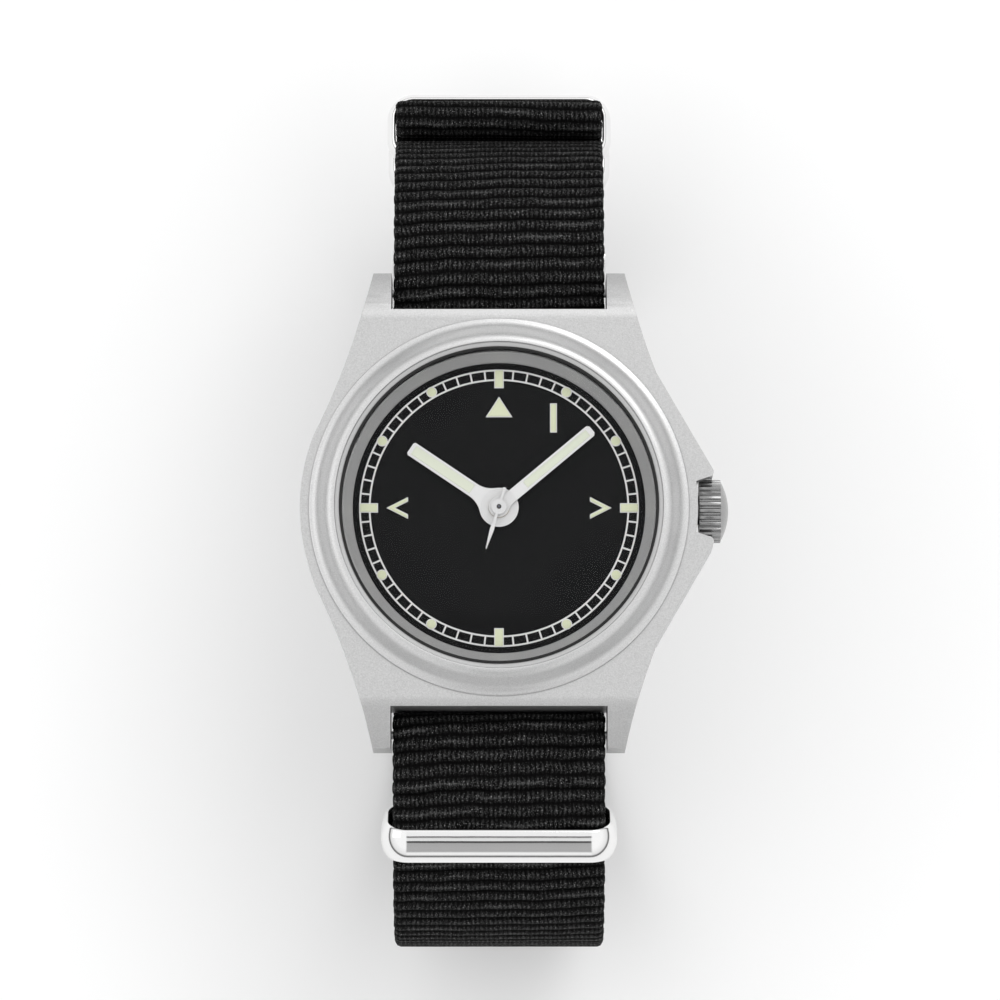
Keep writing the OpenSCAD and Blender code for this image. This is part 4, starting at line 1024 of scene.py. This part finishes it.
@dataclass
class Hands(Dresser):
    """The hour, minute and second hands: white frames with luminous inserts."""

    thick: float = 0.14
    hour: Blade = Blade(6.9, 304.0, 1.82, 0.95, 1.35, 9.9, 0.16, 2.4, (0.455, 3.0, 9.55))
    minute: Blade = Blade(7.2, 50.0, 0.95, 0.6, 1.15, 11.25, 0.22, 1.6, (0.355, 3.2, 10.75))
    second_low: float = 7.48
    second_at: float = 197.0

    def build(self) -> None:
        """Builds the three hands, their inserts and the centre pin."""
        self.hand_over(self.hand("hour_frame", self.hour), "hour", "hand_paint", "hand_white", "hour_hand")
        self.hand_over(self.insert("hour_glow", self.hour), "hour", "hand_lume", "lume", "hour_hand_lume")
        self.hand_over(self.hand("minute_frame", self.minute), "minute", "hand_paint", "hand_white",
                       "minute_hand")
        self.hand_over(self.insert("minute_glow", self.minute), "minute", "hand_lume", "lume",
                       "minute_hand_lume")
        self.hand_over(self.second(), "seconds", "hand_paint", "hand_white", "second_hand")
        pin = turned("centre_pin", [(0, 7.6), (0.13, 7.6), (0.13, 7.66), (0.1, 7.69), (0, 7.7)], False, 40)
        smooth(pin, 40)
        self.hand_over(pin, "seconds", "magnet", "satin_steel")

    def outline(self, blade: Blade) -> Outline:
        """A hand's outline: a round hub that flows through hollows into a straight blade with cut corners.

        Args:
            blade: the hand's sizes.

        Returns:
            The outline, pointing to 12 o'clock.
        """
        half, chamfer, length = blade.width / 2, blade.chamfer, blade.length
        across = half + blade.fillet
        up = math.sqrt((blade.hub + blade.fillet) ** 2 - across ** 2)
        meet = math.degrees(math.atan2(up, across))
        right = arc_points((across, up), blade.fillet, 180.0, 180.0 + meet, 10)
        hub = arc_points((0, 0), blade.hub, meet, -180.0 - meet, 84)
        left = [(-x, y) for x, y in reversed(right)]
        tip = [(-half, length - chamfer), (-half + chamfer, length), (half - chamfer, length),
               (half, length - chamfer)]
        return [*right, *hub[1:-1], *left, *tip]

    def pane(self, name: str, blade: Blade, low: float, thick: float) -> bpy.types.Object:
        """A plate of the size of a hand's window.

        Args:
            name: the plate's name.
            blade: the hand's sizes.
            low: height of the plate's lower face above the floor.
            thick: its thickness.

        Returns:
            The plate.
        """
        half, start, end = blade.window
        return plate(name, [(-half, start), (half, start), (half, end), (-half, end)], low, thick)

    def hand(self, name: str, blade: Blade) -> bpy.types.Object:
        """Cuts a hand from sheet: its window, its hole and its rounded edges.

        Args:
            name: the piece's name.
            blade: the hand's sizes.

        Returns:
            The hand.
        """
        piece = plate(name, self.outline(blade), HEAD + blade.low, self.thick)
        cut(piece, self.pane("window", blade, HEAD + blade.low - 1, 2))
        hole = arc_points((0, 0), blade.hole, 0, 360, 48)[:-1]
        cut(piece, plate("pipe_hole", hole, HEAD + blade.low - 1, 2))
        eased(piece, 0.035, 40, 2)
        return moved(piece, clockwise(blade.angle))

    def insert(self, name: str, blade: Blade) -> bpy.types.Object:
        """The luminous insert, a little crowned between the edges of its window.

        Args:
            name: the piece's name.
            blade: the hand's sizes.

        Returns:
            The insert.
        """
        piece = self.pane(name, blade, HEAD + blade.low + 0.02, self.thick - 0.02)
        eased(piece, 0.06, 40, 3)
        return moved(piece, clockwise(blade.angle))

    def second(self) -> bpy.types.Object:
        """Builds the short second hand with its hub and tail.

        Returns:
            The second hand.
        """
        low = self.second_low
        tip = [(-0.1, 0.5), (0.1, 0.5), (0.2, 2.25), (0.04, 4.1), (-0.04, 4.1), (-0.2, 2.25)]
        tail = [(-0.14, -1.85), (0.14, -1.85), (0.1, -0.5), (-0.1, -0.5)]
        piece = plate("second_frame", arc_points((0, 0), 0.72, 0, 360, 64)[:-1], HEAD + low, self.thick)
        cut(piece, plate("tip", tip, HEAD + low, self.thick), "UNION")
        cut(piece, plate("tail", tail, HEAD + low, self.thick), "UNION")
        eased(piece, 0.035, 40, 2)
        return moved(piece, clockwise(self.second_at))


# The strap and its hardware


class Route:
    """The middle line of a strap, seen from the crown's side: y to 12 o'clock and z up, in millimetres."""

    def __init__(self, *stretches: Outline) -> None:
        """Joins stretches end to end and measures them.

        Args:
            stretches: lists of points, in order.
        """
        line = np.array([point for stretch in stretches for point in stretch])
        steps = np.hypot(*np.diff(line, axis=0).T)
        line = line[np.concatenate([[True], steps > 0.02])]
        self.line = line
        self.far = np.concatenate([[0.0], np.cumsum(np.hypot(*np.diff(line, axis=0).T))])
        self.length = float(self.far[-1])

    def at(self, far: np.ndarray, aside: np.ndarray) -> tuple[np.ndarray, np.ndarray]:
        """Places beside the line.

        Args:
            far: distances along the line.
            aside: distances to its left.

        Returns:
            The places' y and z.
        """
        y, z = (np.interp(far, self.far, self.line[:, i]) for i in (0, 1))
        ahead, behind = np.minimum(far + 0.12, self.length), np.maximum(far - 0.12, 0.0)
        dy, dz = (np.interp(ahead, self.far, self.line[:, i]) - np.interp(behind, self.far, self.line[:, i])
                  for i in (0, 1))
        size = np.hypot(dy, dz)
        return y - aside * dz / size, z + aside * dy / size

    def spread(self, aside: float) -> tuple[np.ndarray, np.ndarray]:
        """The way along whichever face of the strap is longer, so that ribs part on the outside of a bend.

        Args:
            aside: half the strap's thickness.

        Returns:
            Distances along that face, and along the line.
        """
        far = np.linspace(0.0, self.length, round(self.length / 0.05))
        faces = [np.hypot(*np.diff(np.array(self.at(far, np.full(far.size, side))), axis=1))
                 for side in (-aside, aside)]
        return np.concatenate([[0.0], np.cumsum(np.maximum(*faces))]), far


def bend(y: float, z: float, radius: float, start: float, end: float) -> Outline:
    """A bend of a route about (y, z), from one angle to another, in degrees."""
    return arc_points((y, z), radius, start, end, max(3, math.ceil(abs(end - start) / 2)))


@dataclass(frozen=True)
class Ring:
    """Where a strap ring sits and how large its opening is; the straps give way at its rounded corners."""

    middle: Flat
    angle: float
    half_w: float
    half_h: float = 2.7
    corner: float = 1.75
    length: float = 3.4
    hold: float = 3.0
    fade: float = 1.2
    catch: float = 3.2

    def squeezed(self, place: np.ndarray) -> np.ndarray:
        """Presses the edges of a strap into the ring's rounded corners.

        Args:
            place: points on the strap, in millimetres.

        Returns:
            The points, moved where the ring presses on them.
        """
        turn = math.radians(self.angle)
        y, z = place[:, 1] - self.middle[0], place[:, 2] - self.middle[1]
        out, along = y * math.cos(turn) + z * math.sin(turn), z * math.cos(turn) - y * math.sin(turn)
        x_in, out_in = self.half_w - self.corner, self.half_h - self.corner
        x_over, out_over = np.abs(place[:, 0]) - x_in, np.abs(out) - out_in
        far = np.hypot(x_over, out_over)
        held = np.clip((self.hold - np.abs(along)) / self.fade, 0, 1)
        held = held * ((x_over > 0) & (out_over > 0) & (far < self.catch))
        back = 1 - held * (1 - np.minimum(1.0, (self.corner - 0.05) / np.maximum(far, 1e-6)))
        x = np.where(held > 0, np.sign(place[:, 0]) * (x_in + x_over * back), place[:, 0])
        out = np.where(held > 0, np.sign(out) * (out_in + out_over * back), out)
        return np.stack([x, self.middle[0] + out * math.cos(turn) - along * math.sin(turn),
                         self.middle[1] + out * math.sin(turn) + along * math.cos(turn)], axis=1)


def around(centre: Flat, radius: float, angle: float) -> Flat:
    """A point at a radius and an angle, in degrees, about a centre."""
    turn = math.radians(angle)
    return (centre[0] + radius * math.cos(turn), centre[1] + radius * math.sin(turn))


# Centres in the side view, as y and z in millimetres: the loop's low bend at 12 o'clock, its high bend at
# 6 o'clock, and the buckle's fixed bar.
LOW_12 = (15.1, 22.625)
HIGH_6 = (-22.575, 25.925)
BUCKLE_BAR = (29.578, 8.147)
RINGS = {
    "keeper_upper": Ring((38.925, 26.2), 0.0, 9.94),
    "keeper_lower": Ring(around(LOW_12, 22.425, -9.5), -9.5, 9.94),
    "end_ring": Ring(around(HIGH_6, 14.175, 120.0), 120.0, 10.18),
}


@dataclass
class Straps(Dresser):
    """The long strap, the short strap under the case and the threads that join them.

    Each drift wave moves the weft along the strap: its size, its turn per millimetre across and along,
    and its start.
    """

    width: float = 19.82
    thick: float = 1.25
    rib: float = 1.33
    rows_per_rib: int = 6
    face_columns: int = 24
    edge_columns: int = 5
    groove: float = 0.24
    notch: float = 0.14
    plump: float = 0.18
    wander: float = 0.09
    drifts: tuple[tuple[float, float, float, float], ...] = ((1.0, 0.33, 0.11, 0.0), (0.7, 0.71, -0.23, 1.3),
                                                             (0.5, 1.9, 0.37, 0.4))
    skew: float = 0.035
    straight_end: float = 16.0
    slot_w: float = 2.5
    hole_r: float = 0.9
    hole_first: float = 11.1
    hole_pitch: float = 7.5
    thread_r: float = 0.17
    stitch: float = 1.6
    stitches: int = 10
    seam_start: float = -8.2

    def build(self) -> None:
        """Builds and dresses both straps and their threads."""
        long_strap = self.webbing("webbing_long", self.long_route())
        for tool in self.openings():
            cut(long_strap, tool)
        self.hand_over(long_strap, "case", "webbing", "webbing", "strap_long")
        short_strap = self.webbing("webbing_short", self.short_route())
        self.hand_over(short_strap, "case", "webbing", "webbing", "strap_short")
        self.hand_over(self.threads(), "case", "thread", "thread", "strap_stitching")

    def long_route(self) -> Route:
        """From the fold at the buckle round the whole loop to the tucked tail.

        Returns:
            The route.
        """
        low, bar = LOW_12, BUCKLE_BAR
        out = around(bar, 1.525, 117)
        back = (out[0] - 3.9 * math.cos(math.radians(207)), out[1] - 3.9 * math.sin(math.radians(207)))
        crossing = []
        for i in range(1, 25):
            u = i / 24
            angle, radius = math.radians(-64 + 16.5 * u), 22 + 1.4 * (3 * u * u - 2 * u ** 3)
            crossing.append((low[0] + radius * math.cos(angle), low[1] + radius * math.sin(angle)))
        return Route([back], bend(*bar, 1.525, 117, 315), bend(*low, 22, -45, 0),
                     bend(21.1, 25.925, 16, 0, 90), bend(20.75, 40.4, 1.525, 90, 180),
                     bend(18.125, 38.325, 1.1, 0, -90),
                     bend(-18.125, 38.325, 1.1, -90, -180), bend(-20.75, 40.4, 1.525, 0, 90),
                     bend(*HIGH_6, 16, 90, 180), bend(-16.575, 22.625, 22, 180, 270),
                     bend(*low, 22, -90, -64), crossing, bend(*low, 23.4, -45.5, 0),
                     bend(39.6, 29.275, 1.1, 180, 0), [(40.7, 21.8)])

    def short_route(self) -> Route:
        """From the seam under 12 o'clock, under the case and round the end ring's inner bar.

        Returns:
            The route.
        """
        foot, step = (35.6216, 20.8296), []
        for i in range(1, 17):
            u = i / 16
            y = foot[0] + (35.7 - foot[0]) * (1 - (1 - u) ** 2) - 1.1 * (3 * u * u - 2 * u ** 3)
            step.append((y, foot[1] + (24.2 - foot[1]) * u))
        return Route(bend(*LOW_12, 20.6, -19.5, -5), step, bend(25.6, 26.825, 9, 0, 90),
                     bend(-24.1778, 33.325, 2.5, 90, 120), bend(-29.3249, 34.8162, 1.365, -60, -240),
                     bend(-27.1345, 35.925, 1.5, 120, 90), [(-23.3, 37.425)])

    def section(self) -> tuple[np.ndarray, np.ndarray, np.ndarray]:
        """The cross-section of the webbing.

        Returns:
            Places across and aside of each corner, and its distance round the section.
        """
        half, round_r = self.width / 2, self.thick * 0.42
        flat = half - round_r
        across = [np.linspace(-flat, flat, self.face_columns + 1)[:-1]]
        aside = [np.full(self.face_columns, self.thick / 2)]
        turn = np.linspace(math.pi / 2, -math.pi / 2, self.edge_columns + 1)[:-1]
        across.append(flat + round_r * np.cos(turn))
        aside.append(self.thick / 2 * np.sin(turn))
        x, d = np.concatenate(across), np.concatenate(aside)
        x, d = np.concatenate([x, -x, x[:1]]), np.concatenate([d, -d, d[:1]])
        return x, d, np.concatenate([[0.0], np.cumsum(np.hypot(np.diff(x), np.diff(d)))])

    def webbing(self, name: str, route: Route) -> bpy.types.Object:
        """Weaves a strap along a route: a fine grid rolled into a flat tube, with a rib for each weft thread.

        Args:
            name: the strap's name.
            route: its middle line.

        Returns:
            The strap.
        """
        x, d, girth = self.section()
        spread, spread_far = route.spread(self.thick / 2)
        ribs = round(float(spread[-1]) / self.rib)
        columns, rows = len(x) - 1, ribs * self.rows_per_rib
        bpy.ops.object.select_all(action="DESELECT")
        bpy.ops.mesh.primitive_grid_add(x_subdivisions=columns, y_subdivisions=rows, size=2.0, calc_uvs=True)
        piece = named(bpy.context.object, name)
        co = np.empty(len(piece.data.vertices) * 3)
        piece.data.vertices.foreach_get("co", co)
        co = co.reshape(-1, 3)
        i = np.rint((co[:, 0] + 1) / 2 * columns).astype(int)
        j = np.rint((co[:, 1] + 1) / 2 * rows).astype(int)
        far = np.interp(j / rows * spread[-1], spread, spread_far)
        lift = np.sqrt(np.abs(np.sin(math.pi * j / self.rows_per_rib)))
        end = np.minimum(far, route.length - far)
        drift = sum(size * np.sin(across * x[i] + along * far + start)
                    for size, across, along, start in self.drifts)
        plump = 1 + self.plump * np.sin(2.3 * np.floor(j / self.rows_per_rib + 0.5))
        aslant = self.wander * drift - self.skew * x[i]
        far = np.clip(far + aslant * np.clip(end / self.straight_end, 0, 1), 0, route.length)
        thick = 1 - self.groove / (self.thick / 2) * (1 - lift) * plump
        beside = 1 - self.notch / (self.width / 2) * (1 - lift * (0.75 + 0.25 * np.sin(j * 0.41)))
        y, z = route.at(far, d[i] * thick)
        place = np.stack([x[i] * beside, y, z], axis=1)
        for ring in RINGS.values():
            place = ring.squeezed(place)
        place = place * MM
        piece.data.vertices.foreach_set("co", place.ravel())
        self.measure(piece, girth, columns, ribs * self.rib)

        def work() -> None:
            """Closes the seam and the two cut ends."""
            bpy.ops.mesh.remove_doubles(threshold=1e-7)
            bpy.ops.mesh.select_all(action="SELECT")
            bpy.ops.mesh.fill_holes(sides=0)
            outward()

        editing(piece, work)
        smooth(piece, 75)
        return piece

    def measure(self, piece: bpy.types.Object, girth: np.ndarray, columns: int, length: float) -> None:
        """Gives the strap's UV map its real size, in millimetres across and along.

        Args:
            piece: the strap, still a grid with its first UV map.
            girth: distance of each column round the section.
            columns: how many columns.
            length: the strap's length, a whole number of ribs.
        """
        layer = piece.data.uv_layers[0].data
        uv = np.empty(len(layer) * 2)
        layer.foreach_get("uv", uv)
        uv = uv.reshape(-1, 2)
        uv[:, 0] = np.interp(uv[:, 0] * columns, np.arange(columns + 1), girth)
        uv[:, 1] = uv[:, 1] * length
        layer.foreach_set("uv", uv.ravel())

    def openings(self) -> list[bpy.types.Object]:
        """The tools that punch the tongue's slot and the four holes.

        Returns:
            The tools.
        """
        outline = arc_points(LOW_12, 26.0, -63.5, -50.0, 12) + arc_points(LOW_12, 19.0, -50.0, -63.5, 12)
        slot = traced("slot_tool", [Vector((-self.slot_w / 2, y, z)) * MM for y, z in outline], True)

        def widen() -> None:
            """Fills the slot's side and pulls it across."""
            bpy.ops.mesh.edge_face_add()
            bpy.ops.mesh.extrude_region_move(TRANSFORM_OT_translate={"value": (self.slot_w * MM, 0, 0)})
            outward()

        editing(slot, widen)
        bpy.ops.mesh.primitive_cylinder_add(vertices=32, radius=2.2 * MM, depth=self.slot_w * MM,
                                            rotation=(0, math.pi / 2, 0),
                                            location=(0, BUCKLE_BAR[0] * MM, BUCKLE_BAR[1] * MM))
        tools = [slot, bpy.context.object]
        for i in range(4):
            bpy.ops.mesh.primitive_cylinder_add(vertices=32, radius=self.hole_r * MM, depth=6 * MM,
                                                location=(0, (self.hole_first - self.hole_pitch * i) * MM, 0))
            tools.append(bpy.context.object)
        return tools

    def threads(self) -> bpy.types.Object:
        """Sews the three seams: on both faces each stitch is a short arched thread that goes in at its ends.

        Returns:
            The threads.
        """
        seams = []
        for angle in (-18.0, -14.5):
            way = Vector((0, math.cos(math.radians(angle)), math.sin(math.radians(angle))))
            middle = Vector((0, *LOW_12)) + 21.3 * way
            seams.append((middle, way, 1.34))
        seams.append((Vector((0, -24.1, 36.6)), Vector((0, 0, 1)), 1.44))
        first = self.stitch_thread()
        pieces = []
        for middle, way, reach in seams:
            aside = Vector(Axis.X.value)
            for out in (way, -way):
                turn = Matrix((aside, aside.cross(out), out)).transposed().to_4x4()
                for i in range(self.stitches):
                    x = self.seam_start + self.stitch * (i + 0.5)
                    place = Matrix.Translation((middle + out * reach + Vector((x, 0, 0))) * MM)
                    pieces.append(moved(copied(first, "stitch"), place @ turn))
        bpy.data.objects.remove(first)
        return joined("seam_threads", pieces)

    def stitch_thread(self) -> bpy.types.Object:
        """One stitch about the origin, along X, its ends turned down into the cloth.

        Returns:
            The stitch.
        """
        bpy.ops.object.select_all(action="DESELECT")
        bpy.ops.mesh.primitive_cylinder_add(vertices=8, radius=self.thread_r * MM,
                                            depth=self.stitch * 0.96 * MM, rotation=(0, math.pi / 2, 0))
        piece = bpy.context.object
        piece.name = "stitch"

        def work() -> None:
            """Divides the thread along its length."""
            for x in (-0.5, -0.2, 0.2, 0.5):
                bpy.ops.mesh.select_all(action="SELECT")
                bpy.ops.mesh.bisect(plane_co=(x * MM, 0, 0), plane_no=Axis.X.value)

        bpy.ops.object.transform_apply(location=True, rotation=True, scale=True)
        editing(piece, work)
        for vertex in piece.data.vertices:
            u = vertex.co.x / (self.stitch * 0.5 * MM)
            vertex.co.z -= 0.3 * MM * u ** 4
            vertex.co.y += 0.09 * MM * u
        smooth(piece, 60)
        return piece


@dataclass
class Hardware(Dresser):
    """The polished rings and the buckle."""

    wall: float = 0.8
    rim: float = 0.26
    crown_steps: int = 20
    bar_edge: float = 0.28

    def build(self) -> None:
        """Dresses the three rings, the buckle frame and its tongue."""
        for name, node in (("upper_keeper_ring", "keeper_upper"), ("lower_keeper_ring", "keeper_lower"),
                           ("strap_end_ring", "end_ring")):
            self.hand_over(self.ring(name, RINGS[node]), node, "polished_steel", "polished_steel", node)
        self.hand_over(self.softened("buckle_frame", "buckle_loop", self.bar_edge, 35, 4), "buckle",
                       "polished_steel", "polished_steel", "buckle_frame")
        self.hand_over(self.softened("buckle_tongue", "buckle_pin", 0.2, 35, 4), "tongue", "polished_steel",
                       "polished_steel", "buckle_tongue")

    def ring(self, name: str, ring: Ring) -> bpy.types.Object:
        """Bends a ring from half-round wire: flat inside, crowned outside.

        Args:
            name: the piece's name.
            ring: its place and size.

        Returns:
            The ring.
        """
        half, inner, rise = ring.length / 2, ring.half_w, self.wall - self.rim
        radius = (half * half + rise * rise) / (2 * rise)
        reach = math.asin(half / radius)
        flank = inner + self.rim - 0.06
        section = [(inner, 0.1 - half), (inner, half - 0.1), (inner + 0.03, half - 0.03),
                   (inner + 0.1, half), (flank, half)]
        for i in range(1, self.crown_steps):
            turn = reach * (1 - 2 * i / self.crown_steps)
            section.append((inner + self.wall - radius * (1 - math.cos(turn)), radius * math.sin(turn)))
        section += [(flank, -half), (inner + 0.1, -half), (inner + 0.03, 0.03 - half)]
        piece = traced(name, [Vector((x, 0, z)) * MM for x, z in section], True)
        across, up = ring.half_w - ring.corner, ring.half_h - ring.corner

        def work() -> None:
            """Draws the section along four sides and round four corners."""
            for i, side in enumerate((up, 2 * across, 2 * up, 2 * across)):
                turn = Matrix.Rotation(i * math.pi / 2, 3, "Z")
                centre = turn @ Vector((across, up, 0) if i % 2 == 0 else (up, across, 0))
                step = turn @ Vector((0, side, 0)) * MM
                bpy.ops.mesh.extrude_region_move(TRANSFORM_OT_translate={"value": step})
                bpy.ops.mesh.spin(steps=12, angle=-math.pi / 2, center=centre * MM, axis=Axis.Z.value)
            bpy.ops.mesh.extrude_region_move(TRANSFORM_OT_translate={"value": (0, up * MM, 0)})
            outward(1e-6)

        editing(piece, work)
        smooth(piece, 50)
        return moved(piece, Matrix.Translation(Vector((0, *ring.middle)) * MM)
                     @ Matrix.Rotation(math.radians(ring.angle), 4, "X"))


@dataclass
class Works:
    """The parts that keep their CAD shape: the movement, the stem, the spring bars and the inner seals."""

    paints: Paintbox

    def build(self) -> None:
        """Gives every remaining CAD node its finish, by the record's slot."""
        finishes = {"satin_steel": "turned_steel", "dial_black": "dial_paint", "hand_white": "hand_paint",
                    "webbing": "rubber"}
        for name, node in sorted(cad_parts.items()):
            for place in node.material_slots:
                slot = place.material.name.split(".")[0] if place.material else ""
                finish = finishes.get(slot, slot)
                if finish in self.paints.colours:
                    place.material = self.paints.colours[finish]
                    log.info("%s: %s", name, finish)
                else:
                    log.info("%s keeps %s", name, slot)


# The studio


@dataclass
class Studio(Dresser):
    """A pale floor, soft lights and the camera at the photograph's view.

    Its lengths are metres, but for the camera's target, lens and sensor in millimetres. The lamps look at
    "lit".
    """

    floor_r: float = 2.5
    lens: float = 233.3
    sensor: float = 36.0
    target: tuple[float, float, float] = (0.0926, 0.741, 44.5)
    lit: tuple[float, float, float] = (0.0, 0.0, 0.04)
    away: float = 0.6
    tilt: float = 82.5
    sky_light: float = 1.12
    sky_tones: tuple[Flat, ...] = ((0.0, 0.9), (0.495, 0.6), (0.512, 0.15), (0.55, 0.15), (0.6, 0.8),
                                   (0.8, 1.0))
    sky_sides: tuple[Flat, ...] = ((0.0, 1.1), (0.03, 1.1), (0.05, 0.45), (0.24, 0.4), (0.25, 0.06),
                                   (0.292, 0.04), (0.302, 0.85), (0.398, 0.7), (0.405, 0.08), (0.436, 0.06),
                                   (0.445, 0.9), (1.0, 1.0))
    sky_slot: tuple[Flat, ...] = ((0.0, 0.0), (0.41, 0.0), (0.445, 1.0), (0.555, 1.0), (0.59, 0.0))

    def build(self) -> None:
        """Lays the floor, hangs the lights and sets the camera."""
        self.floor()
        self.sky()
        self.lamp("key_light", (0.25, 0.45, 0.6), 0.35, 0.9)
        self.lamp("fill_light", (-0.55, 0.1, 0.5), 0.5, 0.3)
        self.camera()
        bpy.context.scene.view_settings.view_transform = "Standard"

    def floor(self) -> None:
        """Lays a round, flat floor."""
        bpy.ops.object.select_all(action="DESELECT")
        bpy.ops.mesh.primitive_circle_add(vertices=96, radius=self.floor_r, fill_type="NGON",
                                          location=(0, 0, 0))
        piece = bpy.context.object
        piece.name = "studio_floor"
        self.paints.coat(piece, "pale_floor")

    def sky(self) -> None:
        """Paints even light from above, with a dark line low down.

        A narrow slot of dark lines towards 6 o'clock shows only in polished steel.
        """
        world = bpy.data.worlds.new("studio_sky")
        world.use_nodes = True
        tree = world.node_tree
        tree.nodes.clear()
        where = tree.nodes.new("ShaderNodeTexCoord")
        parts = tree.nodes.new("ShaderNodeSeparateXYZ")
        slot, held, both = (tree.nodes.new("ShaderNodeMath") for _ in range(3))
        for node, kind in ((slot, "SUBTRACT"), (held, "MULTIPLY_ADD"), (both, "MULTIPLY")):
            node.operation = kind
        slot.inputs[1].default_value = held.inputs[2].default_value = 1.0
        light = tree.nodes.new("ShaderNodeBackground")
        light.inputs["Strength"].default_value = self.sky_light
        end = tree.nodes.new("ShaderNodeOutputWorld")
        tree.links.new(where.outputs["Generated"], parts.inputs[0])
        tree.links.new(self.ramp(tree, parts.outputs["Z"], self.sky_tones), both.inputs[0])
        tree.links.new(self.ramp(tree, parts.outputs["Y"], self.sky_sides), slot.inputs[0])
        tree.links.new(slot.outputs[0], held.inputs[0])
        tree.links.new(self.ramp(tree, parts.outputs["X"], self.sky_slot), held.inputs[1])
        tree.links.new(held.outputs[0], both.inputs[1])
        tree.links.new(both.outputs[0], light.inputs["Color"])
        tree.links.new(light.outputs[0], end.inputs["Surface"])
        bpy.context.scene.world = world

    @staticmethod
    def ramp(tree: bpy.types.NodeTree, way: bpy.types.NodeSocket,
             tones: tuple[Flat, ...]) -> bpy.types.NodeSocket:
        """Turns one part of the view direction, -1 to 1, into a tone.

        Args:
            tree: the sky's nodes.
            way: the socket that gives the part.
            tones: place from 0 to 1 and tone, in order.

        Returns:
            The socket that gives the tone.
        """
        shift = tree.nodes.new("ShaderNodeMath")
        shift.operation = "MULTIPLY_ADD"
        shift.inputs[1].default_value = shift.inputs[2].default_value = 0.5
        ramp = tree.nodes.new("ShaderNodeValToRGB")
        while len(ramp.color_ramp.elements) < len(tones):
            ramp.color_ramp.elements.new(0.5)
        for stop, (place, tone) in zip(ramp.color_ramp.elements, tones):
            stop.position = place
            stop.color = (tone, tone, tone, 1.0)
        tree.links.new(way, shift.inputs[0])
        tree.links.new(shift.outputs[0], ramp.inputs[0])
        return ramp.outputs[0]

    def lamp(self, name: str, place: tuple[float, float, float], size: float, power: float) -> None:
        """Hangs a soft square lamp that looks at the watch.

        Args:
            name: its name.
            place: where it hangs, in metres.
            size: its side, in metres.
            power: in watts.
        """
        data = bpy.data.lights.new(name, "AREA")
        data.size = size
        data.energy = power
        lamp = bpy.data.objects.new(name, data)
        bpy.context.scene.collection.objects.link(lamp)
        lamp.matrix_world = Matrix.Translation(place) @ self.looking(Vector(self.lit) - Vector(place))

    @staticmethod
    def looking(way: Vector) -> Matrix:
        """The turn that points a lamp or a camera along a way."""
        return way.to_track_quat("-Z", "Y").to_matrix().to_4x4()

    def camera(self) -> None:
        """Looks down on the dial, a little from 6 o'clock."""
        data = bpy.data.cameras.new("photo_view")
        data.sensor_width = self.sensor
        data.lens = self.lens
        data.clip_start = 0.01
        eye = bpy.data.objects.new("photo_view", data)
        bpy.context.scene.collection.objects.link(eye)
        target = Vector(self.target) * MM
        lean = math.radians(self.tilt)
        place = target + self.away * Vector((0, -math.cos(lean), math.sin(lean)))
        eye.matrix_world = Matrix.Translation(place) @ self.looking(target - place)
        bpy.context.scene.camera = eye


def main() -> None:
    """Builds the scene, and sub-assembly by sub-assembly."""
    logging.basicConfig(level=logging.INFO, format="%(name)s %(message)s", stream=sys.stdout)
    paints = Paintbox()
    for assembly in (Works(paints), Case(paints), Crown(paints), Dial(paints), Hands(paints), Straps(paints),
                     Hardware(paints), Studio(paints)):
        log.info("building %s", type(assembly).__name__)
        assembly.build()


if __name__ == "__main__":
    main()
